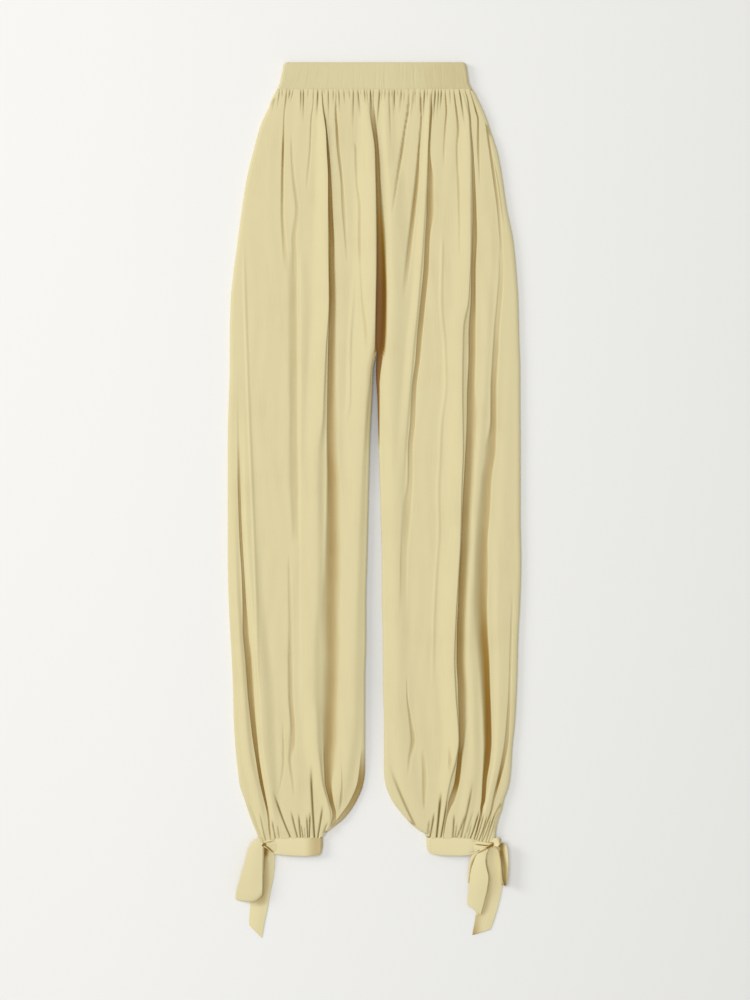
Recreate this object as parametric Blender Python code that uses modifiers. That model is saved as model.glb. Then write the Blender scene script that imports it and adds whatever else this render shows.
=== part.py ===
# Tapered, gathered trousers with tied cuffs, laid flat on their back panels.
# Metres, +Z up. +Y runs from the cuffs to the waist, +X to the right as seen from above.
# The origin is the middle of the bounding box, on the surface that the cloth lies on.

import math
import random

import bmesh
import bpy
import numpy as np

# Driving sizes
CLOTH = 0.0018            # wall of a front panel
BACK_CLOTH = 0.0015       # wall of a back panel
BAND_CLOTH = 0.0022       # wall of the elastic waistband, two layers and the elastic
CUFF_CLOTH = 0.0018       # wall of a cuff, two layers
TIE_CLOTH = 0.0012        # wall of a tie
SEAM_GAP = 0.0003         # what parts two sewn pieces
BACK_INSET = 0.00245      # how far a back panel keeps inside the front's turned-down edge

WAIST_TOP_Y = 0.5786      # folded top edge of the waistband
WAIST_SEAM_Y = 0.5420     # where the gathered cloth meets the waistband
CROTCH_Y = 0.1850         # where the two legs part
CUFF_SEAM_Y = -0.4455     # where the gathered cloth meets the cuffs
CUFF_END_Y = -0.4700      # open edge of the cuffs

BAND_HEIGHT = 0.0080      # thickness of the flattened waistband
CUFF_HEIGHT = 0.0074      # thickness of a flattened cuff
CUFF_SAG = 0.0014         # how far the open edge of a cuff bows out
PANEL_HEIGHT = 0.0064     # top of a front panel away from its folds
TROUGH_HEIGHT = BACK_CLOTH + SEAM_GAP + CLOTH + 0.0002  # lowest top of a front panel
SEAM_HEIGHT = TROUGH_HEIGHT  # top of the front panels along the centre seam
EDGE_ROUND = 0.0065       # how far in from the outline a panel turns down to the surface
CROTCH_BLEND = 0.0200     # length over which the centre seam's edge drops to the surface

FLAT_STEPS = 12           # faces along the flat of a pressed ring
ROUND_STEPS = 6           # faces round each end of it
LEG_COLUMNS = 44          # ridges and hollows of the gathers across one leg
GATHER_SEED = 11
WAIST_GATHER_HEIGHT = 0.0013
CUFF_GATHER_HEIGHT = 0.0009
EDGE_COLUMNS = 4          # columns at either edge that stay free of gathers

CLOTH_COLOUR = (0.70, 0.62, 0.36)
BAND_COLOUR = (0.66, 0.59, 0.34)

# Outline of the cloth from the waist to the cuffs. Above the crotch the two inner columns
# are both the centre seam.
SECTIONS = [
    # y,       left_outer, left_inner, right_inner, right_outer
    (0.5420, -0.1291, -0.0020, -0.0020, 0.1304),
    (0.5296, -0.1357, -0.0020, -0.0020, 0.1370),
    (0.5032, -0.1476, 0.0000, 0.0000, 0.1490),
    (0.4634, -0.1596, 0.0040, 0.0040, 0.1615),
    (0.4105, -0.1715, 0.0066, 0.0066, 0.1722),
    (0.3443, -0.1807, 0.0086, 0.0086, 0.1820),
    (0.2648, -0.1900, 0.0086, 0.0086, 0.1900),
    (0.1986, -0.1925, 0.0040, 0.0040, 0.1922),
    (0.1721, -0.1932, -0.0018, 0.0020, 0.1930),
    (0.1324, -0.1936, -0.0033, 0.0040, 0.1934),
    (0.0794, -0.1940, -0.0060, 0.0064, 0.1936),
    (-0.0265, -0.1940, -0.0086, 0.0086, 0.1940),
    (-0.1324, -0.1927, -0.0106, 0.0099, 0.1927),
    (-0.2383, -0.1874, -0.0119, 0.0113, 0.1887),
    (-0.3310, -0.1834, -0.0126, 0.0126, 0.1821),
    (-0.3774, -0.1781, -0.0152, 0.0152, 0.1781),
    (-0.3972, -0.1720, -0.0232, 0.0232, 0.1720),
    (-0.4105, -0.1668, -0.0311, 0.0324, 0.1678),
    (-0.4237, -0.1622, -0.0430, 0.0444, 0.1635),
    (-0.4343, -0.1569, -0.0563, 0.0550, 0.1609),
    (-0.4455, -0.1510, -0.0675, 0.0675, 0.1570),
]

# Heights along the length at which the folds are given.
STATIONS = {
    "waist": 0.5400, "hip": 0.4237, "crotch": 0.1986, "knee": -0.0265,
    "calf": -0.2516, "hem": -0.3972, "cuff": -0.4396,
}

# The long folds. x and height are given at each station; a negative height is a hollow.
# left and right are how far the fold reaches to either side, at the waist and at the cuff.
LEFT_FOLDS = [
    # name, x at each station, height at each station, left reach, right reach
    ("side_trench",
     (-0.1290, -0.1700, -0.1850, -0.1770, -0.1640, -0.1437, -0.1384),
     (0.0, 0.0, -0.0006, -0.0028, -0.0062, -0.0050, -0.0020), (0.004, 0.007), (0.003, 0.006)),
    ("outer_ridge",
     (-0.1250, -0.1650, -0.1905, -0.1870, -0.1760, -0.1560, -0.1440),
     (0.0, 0.0005, 0.0010, 0.0026, 0.0042, 0.0030, 0.0010), (0.010, 0.012), (0.010, 0.010)),
    ("trench_lip",
     (-0.1250, -0.1560, -0.1750, -0.1660, -0.1500, -0.1330, -0.1290),
     (0.0, 0.0, 0.0004, 0.0016, 0.0038, 0.0032, 0.0014), (0.005, 0.005), (0.016, 0.020)),
    ("hip_crease",
     (-0.1185, -0.1218, -0.1160, -0.1160, -0.1160, -0.1160, -0.1160),
     (-0.0010, -0.0022, 0.0, 0.0, 0.0, 0.0, 0.0), (0.003, 0.003), (0.003, 0.003)),
    ("thigh_hollow",
     (-0.1100, -0.1070, -0.1020, -0.1015, -0.1100, -0.1020, -0.0950),
     (0.0, -0.0008, -0.0018, -0.0014, -0.0012, -0.0010, 0.0), (0.014, 0.010), (0.004, 0.006)),
    ("main_lip",
     (-0.0760, -0.0690, -0.0680, -0.0720, -0.0780, -0.0690, -0.0640),
     (0.0012, 0.0048, 0.0050, 0.0034, 0.0036, 0.0052, 0.0022), (0.016, 0.020), (0.006, 0.010)),
    ("main_trench",
     (-0.0695, -0.0590, -0.0565, -0.0585, -0.0610, -0.0580, -0.0550),
     (-0.0012, -0.0085, -0.0088, -0.0066, -0.0070, -0.0085, -0.0030), (0.003, 0.009), (0.005, 0.008)),
    ("front_crease",
     (-0.0510, -0.0430, -0.0370, -0.0370, -0.0370, -0.0370, -0.0370),
     (-0.0012, -0.0018, 0.0, 0.0, 0.0, 0.0, 0.0), (0.003, 0.003), (0.005, 0.005)),
    ("inner_swell",
     (-0.0120, -0.0080, -0.0060, -0.0220, -0.0280, -0.0330, -0.0640),
     (0.0012, 0.0062, 0.0070, 0.0030, 0.0026, 0.0026, 0.0010), (0.030, 0.022), (0.012, 0.016)),
]
RIGHT_FOLDS = [
    ("centre_rise",
     (0.0200, 0.0220, 0.0210, 0.0260, 0.0290, 0.0360, 0.0700),
     (0.0010, 0.0030, 0.0032, 0.0022, 0.0022, 0.0026, 0.0010), (0.016, 0.018), (0.020, 0.022)),
    ("diagonal_crease",
     (0.0457, 0.0291, 0.0180, 0.0180, 0.0180, 0.0180, 0.0180),
     (-0.0014, -0.0014, 0.0, 0.0, 0.0, 0.0, 0.0), (0.003, 0.003), (0.003, 0.003)),
    ("inner_trench",
     (0.0616, 0.0563, 0.0340, 0.0340, 0.0340, 0.0340, 0.0340),
     (-0.0014, -0.0044, 0.0, 0.0, 0.0, 0.0, 0.0), (0.006, 0.006), (0.003, 0.003)),
    ("front_trench",
     (0.0748, 0.0725, 0.0590, 0.0490, 0.0430, 0.0560, 0.0620),
     (-0.0014, -0.0056, -0.0034, -0.0014, -0.0010, -0.0012, 0.0), (0.003, 0.010), (0.006, 0.012)),
    ("main_lip",
     (0.0900, 0.1210, 0.1180, 0.1080, 0.1030, 0.0960, 0.0880),
     (0.0010, 0.0026, 0.0034, 0.0052, 0.0060, 0.0056, 0.0022), (0.020, 0.024), (0.006, 0.006)),
    ("main_trench",
     (0.1060, 0.1325, 0.1295, 0.1195, 0.1150, 0.1065, 0.0940),
     (-0.0012, -0.0052, -0.0062, -0.0088, -0.0094, -0.0080, -0.0030), (0.003, 0.004), (0.006, 0.009)),
    ("outer_lip",
     (0.1180, 0.1560, 0.1450, 0.1330, 0.1310, 0.1290, 0.1180),
     (0.0, 0.0010, 0.0012, 0.0024, 0.0040, 0.0040, 0.0014), (0.008, 0.007), (0.010, 0.006)),
    ("outer_trench",
     (0.1180, 0.1600, 0.1580, 0.1480, 0.1485, 0.1450, 0.1330),
     (0.0, -0.0012, -0.0026, -0.0052, -0.0092, -0.0072, -0.0024), (0.009, 0.007), (0.008, 0.006)),
    ("side_ridge",
     (0.1230, 0.1680, 0.1740, 0.1700, 0.1660, 0.1590, 0.1440),
     (0.0, 0.0012, 0.0024, 0.0046, 0.0060, 0.0046, 0.0012), (0.012, 0.010), (0.014, 0.012)),
    ("side_crease",
     (0.1240, 0.1620, 0.1800, 0.1800, 0.1790, 0.1612, 0.1490),
     (0.0, -0.0010, 0.0, 0.0, -0.0010, -0.0040, -0.0016), (0.004, 0.004), (0.006, 0.006)),
]

# The folds that the columns of points follow, so that their edges stay clean.
LEFT_GUIDES = {8: "side_trench", 27: "main_trench"}
RIGHT_GUIDES = {27: "main_trench", 36: "outer_trench"}

# Rows of points down a front panel, closer together in the gathers.
PANEL_ROWS = (
    0.5418, 0.5375, 0.5315, 0.5235, 0.5130, 0.4970, 0.4750, 0.4450, 0.4050, 0.3520, 0.2900,
    0.2350, 0.2000, 0.1850, 0.1700, 0.1480, 0.1100, 0.0500, -0.0265, -0.1150, -0.2050, -0.2750,
    -0.3250, -0.3600, -0.3830, -0.4000, -0.4120, -0.4220, -0.4310, -0.4390, -0.4452,
)

# Rows of the waistband, from the seam to the folded top.
BAND_ROWS = [
    # y, left, right
    (WAIST_SEAM_Y + SEAM_GAP / 2, -0.1295, 0.1308),
    (0.5480, -0.1262, 0.1265),
    (0.5560, -0.1236, 0.1238),
    (0.5680, -0.1216, 0.1226),
    (0.5760, -0.1204, 0.1210),
    (WAIST_TOP_Y, -0.1188, 0.1184),
]


def clear_scene():
    for thing in list(bpy.data.objects):
        bpy.data.objects.remove(thing, do_unlink=True)


def cloth_material(name, colour, roughness):
    material = bpy.data.materials.new(name)
    material.use_nodes = True
    shader = material.node_tree.nodes["Principled BSDF"]
    shader.inputs["Base Color"].default_value = (*colour, 1.0)
    shader.inputs["Roughness"].default_value = roughness
    shader.inputs["Metallic"].default_value = 0.0
    return material


def smooth_through(places, values, at):
    """A smooth curve through the values, level where they turn, read at one or more places."""
    order = np.argsort(places)
    p = np.asarray(places, float)[order]
    v = np.asarray(values, float)[order]
    step = np.diff(p)
    slope = np.diff(v) / step
    tangent = np.zeros(len(p))
    same_way = slope[:-1] * slope[1:] > 0
    tangent[1:-1][same_way] = (2 * slope[:-1] * slope[1:] / (slope[:-1] + slope[1:] + 1e-12))[same_way]
    tangent[0], tangent[-1] = slope[0], slope[-1]
    at = np.clip(np.asarray(at, float), p[0], p[-1])
    k = np.clip(np.searchsorted(p, at, side="right") - 1, 0, len(p) - 2)
    t = (at - p[k]) / step[k]
    start, end = v[k], v[k + 1]
    rise, fall = tangent[k] * step[k], tangent[k + 1] * step[k]
    return (
        (1 + 2 * t) * (1 - t) ** 2 * start + t * (1 - t) ** 2 * rise
        + t * t * (3 - 2 * t) * end - t * t * (1 - t) * fall
    )


def outline(column, y):
    """x of one column of SECTIONS at the height y."""
    return smooth_through([s[0] for s in SECTIONS], [s[column] for s in SECTIONS], y)


def fold_line(fold, y):
    """Where a fold runs at the height y, how high it stands, and its reach to left and right."""
    places = list(STATIONS.values())
    _, xs, heights, left, right = fold
    down = (STATIONS["waist"] - y) / (STATIONS["waist"] - STATIONS["cuff"])
    return (
        float(smooth_through(places, xs, y)),
        float(smooth_through(places, heights, y)),
        left[0] + (left[1] - left[0]) * down,
        right[0] + (right[1] - right[0]) * down,
    )


def panel_height(folds, x, y):
    """Top of a front panel at the points x across the height y, before its edges turn down."""
    height = np.full(len(x), PANEL_HEIGHT)
    for fold in folds:
        line, rise, left, right = fold_line(fold, y)
        away = x - line
        reach = np.where(away < 0, left, right)
        share = np.clip(np.abs(away) / reach, 0.0, 1.0)
        height += rise * 0.5 * (1 + np.cos(math.pi * share))
    return np.maximum(height, TROUGH_HEIGHT)


def gather_heights(count, seed):
    """For each column, how strongly it is gathered at the waist and the cuff, and how far down."""
    chance = random.Random(seed)
    return [
        {
            "waist": chance.uniform(0.6, 1.3),
            "cuff": chance.uniform(0.6, 1.3),
            "waist_length": chance.choice((0.012, 0.018, 0.026, 0.040)),
            "cuff_length": chance.choice((0.012, 0.018, 0.026, 0.034)),
        }
        for _ in range(count)
    ]


def edge_turn(distance, reach):
    """0 at an edge, 1 from reach inwards, as a quarter of an ellipse."""
    inwards = 1 - np.clip(distance / reach, 0.0, 1.0)
    return np.sqrt(np.maximum(1 - inwards ** 2, 0.0))


def panel_columns(outer, inner, guides, folds, y):
    """x of each column of a front panel: close at both edges, along the guide folds between."""
    towards = 1 if inner > outer else -1
    edge = np.array((0.0, 0.0007, 0.0026, EDGE_ROUND))
    marks = {0: outer, LEG_COLUMNS: inner}
    for k in (1, 2, 3):
        marks[k] = outer + towards * edge[k]
        marks[LEG_COLUMNS - k] = inner - towards * edge[k]
    for column, name in guides.items():
        fold = next(f for f in folds if f[0] == name)
        from_outer = column if towards > 0 else LEG_COLUMNS - column
        even = from_outer / LEG_COLUMNS
        share = (fold_line(fold, y)[0] - outer) / (inner - outer)
        share = min(max(share, even * 0.5), 1 - (1 - even) * 0.5)
        marks[from_outer] = outer + (inner - outer) * share
    order = sorted(marks)
    return np.interp(np.arange(LEG_COLUMNS + 1), order, [marks[k] for k in order])


def inner_edge(column, y):
    """x of a panel's inner edge. Above the crotch both panels stop at one shared seam."""
    own = float(outline(column, y))
    seam = (float(outline(2, y)) + float(outline(3, y))) / 2
    if column == 2:
        return min(own, seam) - SEAM_GAP / 2
    return max(own, seam) + SEAM_GAP / 2


def add_gathers(height, gathers, y):
    """Raise and lower alternate columns, most at the waist seam and at the cuff seam."""
    from_waist, from_cuff = WAIST_SEAM_Y - y, y - CUFF_SEAM_Y
    swell = min(1.0, 0.55 + from_waist / 0.008)
    for k, gather in enumerate(gathers):
        if k < EDGE_COLUMNS or k > LEG_COLUMNS - EDGE_COLUMNS:
            continue
        way = 1 if k % 2 else -1
        at_waist = math.exp(-((from_waist / gather["waist_length"]) ** 2))
        at_cuff = math.exp(-((from_cuff / gather["cuff_length"]) ** 2))
        height[k] += way * WAIST_GATHER_HEIGHT * gather["waist"] * swell * at_waist
        height[k] += way * CUFF_GATHER_HEIGHT * gather["cuff"] * at_cuff
    return np.maximum(height, TROUGH_HEIGHT)


def underside_of(x, height, towards, joined):
    """The lower face: the upper one moved in by the cloth's thickness, square to its slope."""
    slope = np.gradient(height, x)
    thick = CLOTH / np.sqrt(1 + slope ** 2)
    room = 0.3 * np.abs(np.gradient(x))
    room[:EDGE_COLUMNS] = CLOTH
    room[-EDGE_COLUMNS:] = CLOTH
    low_x = x + np.clip(slope * thick, -room, room)
    low_z = height - thick
    low_x[0], low_z[0] = x[0] + towards * CLOTH, 0.0
    low_x[-1] = x[-1] - towards * CLOTH * (1 - joined)
    low_z[-1] = height[-1] - CLOTH * joined
    order = towards * low_x
    for k in range(1, len(order)):
        order[k] = max(order[k], order[k - 1] + 0.0001)
    last = towards * low_x[-1]
    for k in range(len(order) - 1, 0, -1):
        order[k] = min(order[k], last - 0.0001 * (len(order) - 1 - k))
    return towards * order, low_z


def front_panel_points(outer_column, inner_column, guides, folds, seed):
    """Upper and lower points of a front panel, as rows from the waist to the cuff."""
    gathers = gather_heights(LEG_COLUMNS + 1, seed)
    tops, undersides = [], []
    for y in PANEL_ROWS:
        outer = float(outline(outer_column, y))
        inner = inner_edge(inner_column, y)
        towards = 1 if inner > outer else -1
        x = panel_columns(outer, inner, guides, folds, y)
        height = add_gathers(panel_height(folds, x, y), gathers, y)

        joined = min(max((y - CROTCH_Y) / CROTCH_BLEND, 0.0), 1.0)
        seam = SEAM_HEIGHT * joined
        height = height * edge_turn(np.abs(x - outer), EDGE_ROUND)
        turned = seam + (height - seam) * edge_turn(np.abs(x - inner), EDGE_ROUND)
        near_inner = np.abs(x - inner) < np.abs(x - outer)
        height = np.where(near_inner, turned, height)

        low_x, low_z = underside_of(x, height, towards, joined)
        tops.append([(a, y, b) for a, b in zip(x, height)])
        undersides.append([(a, y, b) for a, b in zip(low_x, low_z)])
    return np.array(tops), np.array(undersides)


def wall_between(name, tops, undersides, collection, material):
    """A closed wall of cloth between an upper and a lower sheet of points, both rows by columns."""
    rows, columns = tops.shape[:2]
    shape = bmesh.new()
    top = [[shape.verts.new(p) for p in row] for row in tops]
    low = [[shape.verts.new(p) for p in row] for row in undersides]
    for i in range(rows - 1):
        for k in range(columns - 1):
            shape.faces.new((top[i][k], top[i + 1][k], top[i + 1][k + 1], top[i][k + 1]))
            shape.faces.new((low[i][k], low[i][k + 1], low[i + 1][k + 1], low[i + 1][k]))
        for k in (0, columns - 1):
            shape.faces.new((top[i][k], low[i][k], low[i + 1][k], top[i + 1][k]))
    for k in range(columns - 1):
        for i in (0, rows - 1):
            shape.faces.new((top[i][k], top[i][k + 1], low[i][k + 1], low[i][k]))
    bmesh.ops.recalc_face_normals(shape, faces=shape.faces)
    return finish_mesh(name, shape, collection, material)


def finish_mesh(name, shape, collection, material):
    mesh = bpy.data.meshes.new(name)
    shape.to_mesh(mesh)
    shape.free()
    mesh.materials.append(material)
    thing = bpy.data.objects.new(name, mesh)
    collection.objects.link(thing)
    return thing


def shade(thing, angle=math.radians(50)):
    thing.data.shade_smooth()
    thing.data.set_sharp_from_angle(angle=angle)


def back_panel(name, outer_column, inner_column, collection, material):
    """A flat panel on the surface, inside the front panel's turned-down edge."""
    tops, undersides = [], []
    for y in PANEL_ROWS:
        outer = float(outline(outer_column, y))
        inner = inner_edge(inner_column, y)
        towards = 1 if inner > outer else -1
        outer += towards * BACK_INSET
        if y <= CROTCH_Y + CROTCH_BLEND:
            lean = (inner_edge(inner_column, y + 0.004) - inner_edge(inner_column, y - 0.004)) / 0.008
            inner -= towards * BACK_INSET * math.hypot(1.0, lean)
        across = np.linspace(outer, inner, 4)
        tops.append([(x, y, BACK_CLOTH) for x in across])
        undersides.append([(x, y, 0.0) for x in across])
    panel = wall_between(name, np.array(tops), np.array(undersides), collection, material)
    shade(panel)
    return panel


def front_panel(name, outer_column, inner_column, guides, folds, seed, collection, material):
    tops, undersides = front_panel_points(outer_column, inner_column, guides, folds, seed)
    panel = wall_between(name, tops, undersides, collection, material)
    shade(panel)
    return panel


def pressed_section(y, left, right, height):
    """One section of a tube pressed flat: straight above and below, half round at both ends."""
    bend = height / 2
    round_steps = [math.pi * k / ROUND_STEPS for k in range(ROUND_STEPS + 1)]
    points = [
        (left + bend + (right - left - height) * k / FLAT_STEPS, y, height)
        for k in range(1, FLAT_STEPS)
    ]
    points += [
        (right - bend + bend * math.sin(turn), y, bend + bend * math.cos(turn))
        for turn in round_steps
    ]
    points += [
        (right - bend - (right - left - height) * k / FLAT_STEPS, y, 0.0)
        for k in range(1, FLAT_STEPS)
    ]
    points += [
        (left + bend - bend * math.sin(turn), y, bend - bend * math.cos(turn))
        for turn in round_steps
    ]
    return points


def pressed_tube(name, rows, wall, collection, material):
    """A ring of cloth lying flat. rows has (y, left x, right x, height) from one end to the other."""
    shape = bmesh.new()
    outside, inside = [], []
    for y, left, right, height in rows:
        outside.append([shape.verts.new(p) for p in pressed_section(y, left, right, height)])
        inner = pressed_section(y, left + wall, right - wall, height - 2 * wall)
        inside.append([shape.verts.new((a, b, c + wall)) for a, b, c in inner])
    count = len(outside[0])
    for k in range(count):
        after = (k + 1) % count
        for i in range(len(rows) - 1):
            for sheet in (outside, inside):
                shape.faces.new((sheet[i][k], sheet[i + 1][k], sheet[i + 1][after], sheet[i][after]))
        for i in (0, -1):
            shape.faces.new((outside[i][k], outside[i][after], inside[i][after], inside[i][k]))
    bmesh.ops.recalc_face_normals(shape, faces=shape.faces)
    tube = finish_mesh(name, shape, collection, material)
    shade(tube)
    return tube


def add_wall(thing, wall, offset):
    solid = thing.modifiers.new("wall", "SOLIDIFY")
    solid.thickness = wall
    solid.offset = offset
    solid.use_even_offset = True
    solid.use_rim = True


def build_waistband(collection, material):
    """The elastic casing: a ring, a little wider where the legs are sewn on."""
    rows = [(y, left, right, BAND_HEIGHT) for y, left, right in BAND_ROWS]
    return pressed_tube("waistband", rows, BAND_CLOTH, collection, material)


def build_cuff(name, left, right, sag, collection, material):
    """A cuff: a ring whose open edge bows away from the leg in the middle."""
    seam = CUFF_SEAM_Y - SEAM_GAP / 2
    narrowing = 0.0012
    rows = [
        (seam, left, right, CUFF_HEIGHT),
        ((seam + CUFF_END_Y) / 2, left, right, CUFF_HEIGHT),
        (CUFF_END_Y, left + narrowing, right - narrowing, CUFF_HEIGHT),
    ]
    cuff = pressed_tube(name, rows, CUFF_CLOTH, collection, material)
    for vertex in cuff.data.vertices:
        across = min(max((vertex.co.x - left) / (right - left), 0.0), 1.0)
        down = (seam - vertex.co.y) / (seam - CUFF_END_Y)
        vertex.co.y -= sag * down * math.sin(math.pi * across)
    return cuff


def build_knot(name, centre, size, turn, collection, material):
    """A tied knot: a flattened ball with three soft wraps round it."""
    shape = bmesh.new()
    bmesh.ops.create_uvsphere(shape, u_segments=16, v_segments=10, radius=1.0)
    for vertex in shape.verts:
        x, y, z = vertex.co
        wrap = 1.0 + 0.07 * math.cos(3 * math.pi * (x * math.cos(turn) + y * math.sin(turn)))
        vertex.co = (
            centre[0] + size[0] * x * wrap,
            centre[1] + size[1] * y * wrap,
            max(centre[2] + size[2] * z * wrap, 0.0),
        )
    bmesh.ops.recalc_face_normals(shape, faces=shape.faces)
    knot = finish_mesh(name, shape, collection, material)
    shade(knot)
    return knot


def ribbon(name, route, across, collection, material, parts=3, cut=0.0):
    """A strip of cloth along route, whose rows are x, y, z and width. across is how its width runs.

    parts is the number of lengths between two rows, and cut is the slant of its free end.
    """
    route = np.array(route)
    gaps = np.linalg.norm(np.diff(route[:, :3], axis=0), axis=1)
    along = np.concatenate([[0.0], np.cumsum(gaps)])
    steps = parts * (len(route) - 1) + 1
    at = np.interp(np.linspace(0, len(route) - 1, steps), np.arange(len(route)), along)
    line = np.stack([smooth_through(along, route[:, k], at) for k in range(4)], axis=1)
    across = np.array(across) / np.linalg.norm(across)
    way = np.gradient(line[:, :3], axis=0)
    way /= np.linalg.norm(way, axis=1)[:, None]
    shape = bmesh.new()
    strips = []
    for k, (x, y, z, width) in enumerate(line):
        side = across * width / 2
        near_end = max(0.0, (k - steps + 1 + parts) / parts)
        slant = way[k] * cut * near_end
        strips.append([
            shape.verts.new((x, y, z) - side + slant),
            shape.verts.new((x, y, z)),
            shape.verts.new((x, y, z) + side - slant),
        ])
    for first, second in zip(strips[:-1], strips[1:]):
        for k in (0, 1):
            shape.faces.new((first[k], second[k], second[k + 1], first[k + 1]))
    strip = finish_mesh(name, shape, collection, material)
    add_wall(strip, TIE_CLOTH, 0.0)
    shade(strip)
    return strip


# The ties. Rows are x, y, z and width, from the knot outwards.
LEFT_KNOT = (-0.1424, -0.4538, 0.0062)
LEFT_LOOP = [
    (-0.1450, -0.4607, 0.0098, 0.010), (-0.1530, -0.4760, 0.0112, 0.022),
    (-0.1605, -0.5000, 0.0112, 0.028), (-0.1650, -0.5230, 0.0104, 0.031),
    (-0.1664, -0.5292, 0.0078, 0.031), (-0.1650, -0.5240, 0.0052, 0.030),
    (-0.1590, -0.5010, 0.0044, 0.026), (-0.1525, -0.4780, 0.0046, 0.020),
    (-0.1450, -0.4622, 0.0054, 0.010),
]
LEFT_TAIL = [
    (-0.1410, -0.4612, 0.0030, 0.010), (-0.1418, -0.4790, 0.0012, 0.017),
    (-0.1450, -0.5020, 0.0006, 0.021), (-0.1500, -0.5300, 0.0006, 0.022),
    (-0.1570, -0.5730, 0.0006, 0.019),
]
RIGHT_KNOT = (0.1489, -0.4540, 0.0062)
RIGHT_FRONT_TAIL = [
    (0.1450, -0.4617, 0.0098, 0.010), (0.1385, -0.4770, 0.0112, 0.020),
    (0.1340, -0.4980, 0.0106, 0.025), (0.1320, -0.5200, 0.0072, 0.022),
    (0.1305, -0.5405, 0.0040, 0.018),
]
RIGHT_BACK_TAIL = [
    (0.1544, -0.4626, 0.0030, 0.012), (0.1600, -0.4790, 0.0012, 0.023),
    (0.1570, -0.5020, 0.0006, 0.027), (0.1510, -0.5300, 0.0006, 0.026),
    (0.1420, -0.5720, 0.0006, 0.024),
]
RIGHT_UNDER_LOOP = [
    (0.1480, -0.4630, 0.0077, 0.008), (0.1462, -0.4700, 0.0080, 0.009),
    (0.1405, -0.4800, 0.0084, 0.014), (0.1345, -0.4980, 0.0080, 0.020),
    (0.1330, -0.5062, 0.0079, 0.021), (0.1328, -0.5093, 0.0060, 0.021),
    (0.1330, -0.5062, 0.0041, 0.021), (0.1348, -0.4980, 0.0042, 0.020),
    (0.1408, -0.4800, 0.0040, 0.014), (0.1464, -0.4700, 0.0048, 0.009),
    (0.1480, -0.4633, 0.0053, 0.008),
]
RIGHT_SIDE_LOOP = [
    (0.1557, -0.4500, 0.0094, 0.010), (0.1660, -0.4490, 0.0096, 0.012),
    (0.1730, -0.4570, 0.0096, 0.014), (0.1762, -0.4740, 0.0096, 0.014),
    (0.1778, -0.4940, 0.0096, 0.014), (0.1775, -0.5040, 0.0096, 0.014),
    (0.1756, -0.5088, 0.0096, 0.014), (0.1736, -0.5050, 0.0096, 0.014),
    (0.1726, -0.4940, 0.0096, 0.014), (0.1704, -0.4740, 0.0096, 0.014),
    (0.1648, -0.4600, 0.0096, 0.012), (0.1567, -0.4560, 0.0094, 0.010),
]


def build_ties(collection, material):
    build_knot("left_knot", LEFT_KNOT, (0.0068, 0.0076, 0.0060), 0.6, collection, material)
    build_knot("right_knot", RIGHT_KNOT, (0.0070, 0.0078, 0.0060), 2.4, collection, material)
    ribbon("left_loop", LEFT_LOOP, (0.966, -0.259, 0.0), collection, material)
    ribbon("left_tail", LEFT_TAIL, (0.985, -0.174, 0.0), collection, material, 4, -0.004)
    ribbon("right_front_tail", RIGHT_FRONT_TAIL, (1.0, 0.05, 0.0), collection, material, 4, -0.003)
    ribbon("right_back_tail", RIGHT_BACK_TAIL, (0.98, -0.2, 0.0), collection, material, 4, 0.003)
    ribbon("right_under_loop", RIGHT_UNDER_LOOP, (1.0, 0.0, 0.0), collection, material)
    ribbon("right_side_loop", RIGHT_SIDE_LOOP, (0.10, 0.0, 1.0), collection, material)


def main():
    clear_scene()
    collection = bpy.data.collections.new("tapered_trousers")
    bpy.context.scene.collection.children.link(collection)
    cloth = cloth_material("panel cloth", CLOTH_COLOUR, 0.62)
    band = cloth_material("waistband cloth", BAND_COLOUR, 0.70)
    tie = cloth_material("cuff and tie cloth", CLOTH_COLOUR, 0.60)

    back_panel("back_left", 1, 2, collection, cloth)
    back_panel("back_right", 4, 3, collection, cloth)
    front_panel("front_left", 1, 2, LEFT_GUIDES, LEFT_FOLDS, GATHER_SEED, collection, cloth)
    front_panel("front_right", 4, 3, RIGHT_GUIDES, RIGHT_FOLDS, GATHER_SEED + 1, collection, cloth)
    build_waistband(collection, band)
    build_cuff("left_cuff", -0.1352, -0.0686, CUFF_SAG, collection, tie)
    build_cuff("right_cuff", 0.0690, 0.1412, CUFF_SAG, collection, tie)
    build_ties(collection, tie)


main()
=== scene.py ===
import bpy
import numpy as np
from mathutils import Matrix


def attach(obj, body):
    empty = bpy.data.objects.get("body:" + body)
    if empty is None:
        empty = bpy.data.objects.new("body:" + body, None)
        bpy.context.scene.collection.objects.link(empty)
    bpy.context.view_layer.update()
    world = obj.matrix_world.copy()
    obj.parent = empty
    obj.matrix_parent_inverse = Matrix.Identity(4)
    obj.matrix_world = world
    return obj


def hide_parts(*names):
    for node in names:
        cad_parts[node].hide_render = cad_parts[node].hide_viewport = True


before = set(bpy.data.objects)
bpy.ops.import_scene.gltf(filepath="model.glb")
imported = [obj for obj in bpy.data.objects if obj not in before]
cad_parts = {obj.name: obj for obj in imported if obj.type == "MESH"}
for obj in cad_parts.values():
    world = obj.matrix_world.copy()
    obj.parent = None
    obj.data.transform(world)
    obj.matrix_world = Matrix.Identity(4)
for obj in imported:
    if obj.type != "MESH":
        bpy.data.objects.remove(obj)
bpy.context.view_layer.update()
mm = 0.001
print("frame loaded:", len(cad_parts), "nodes")


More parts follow.
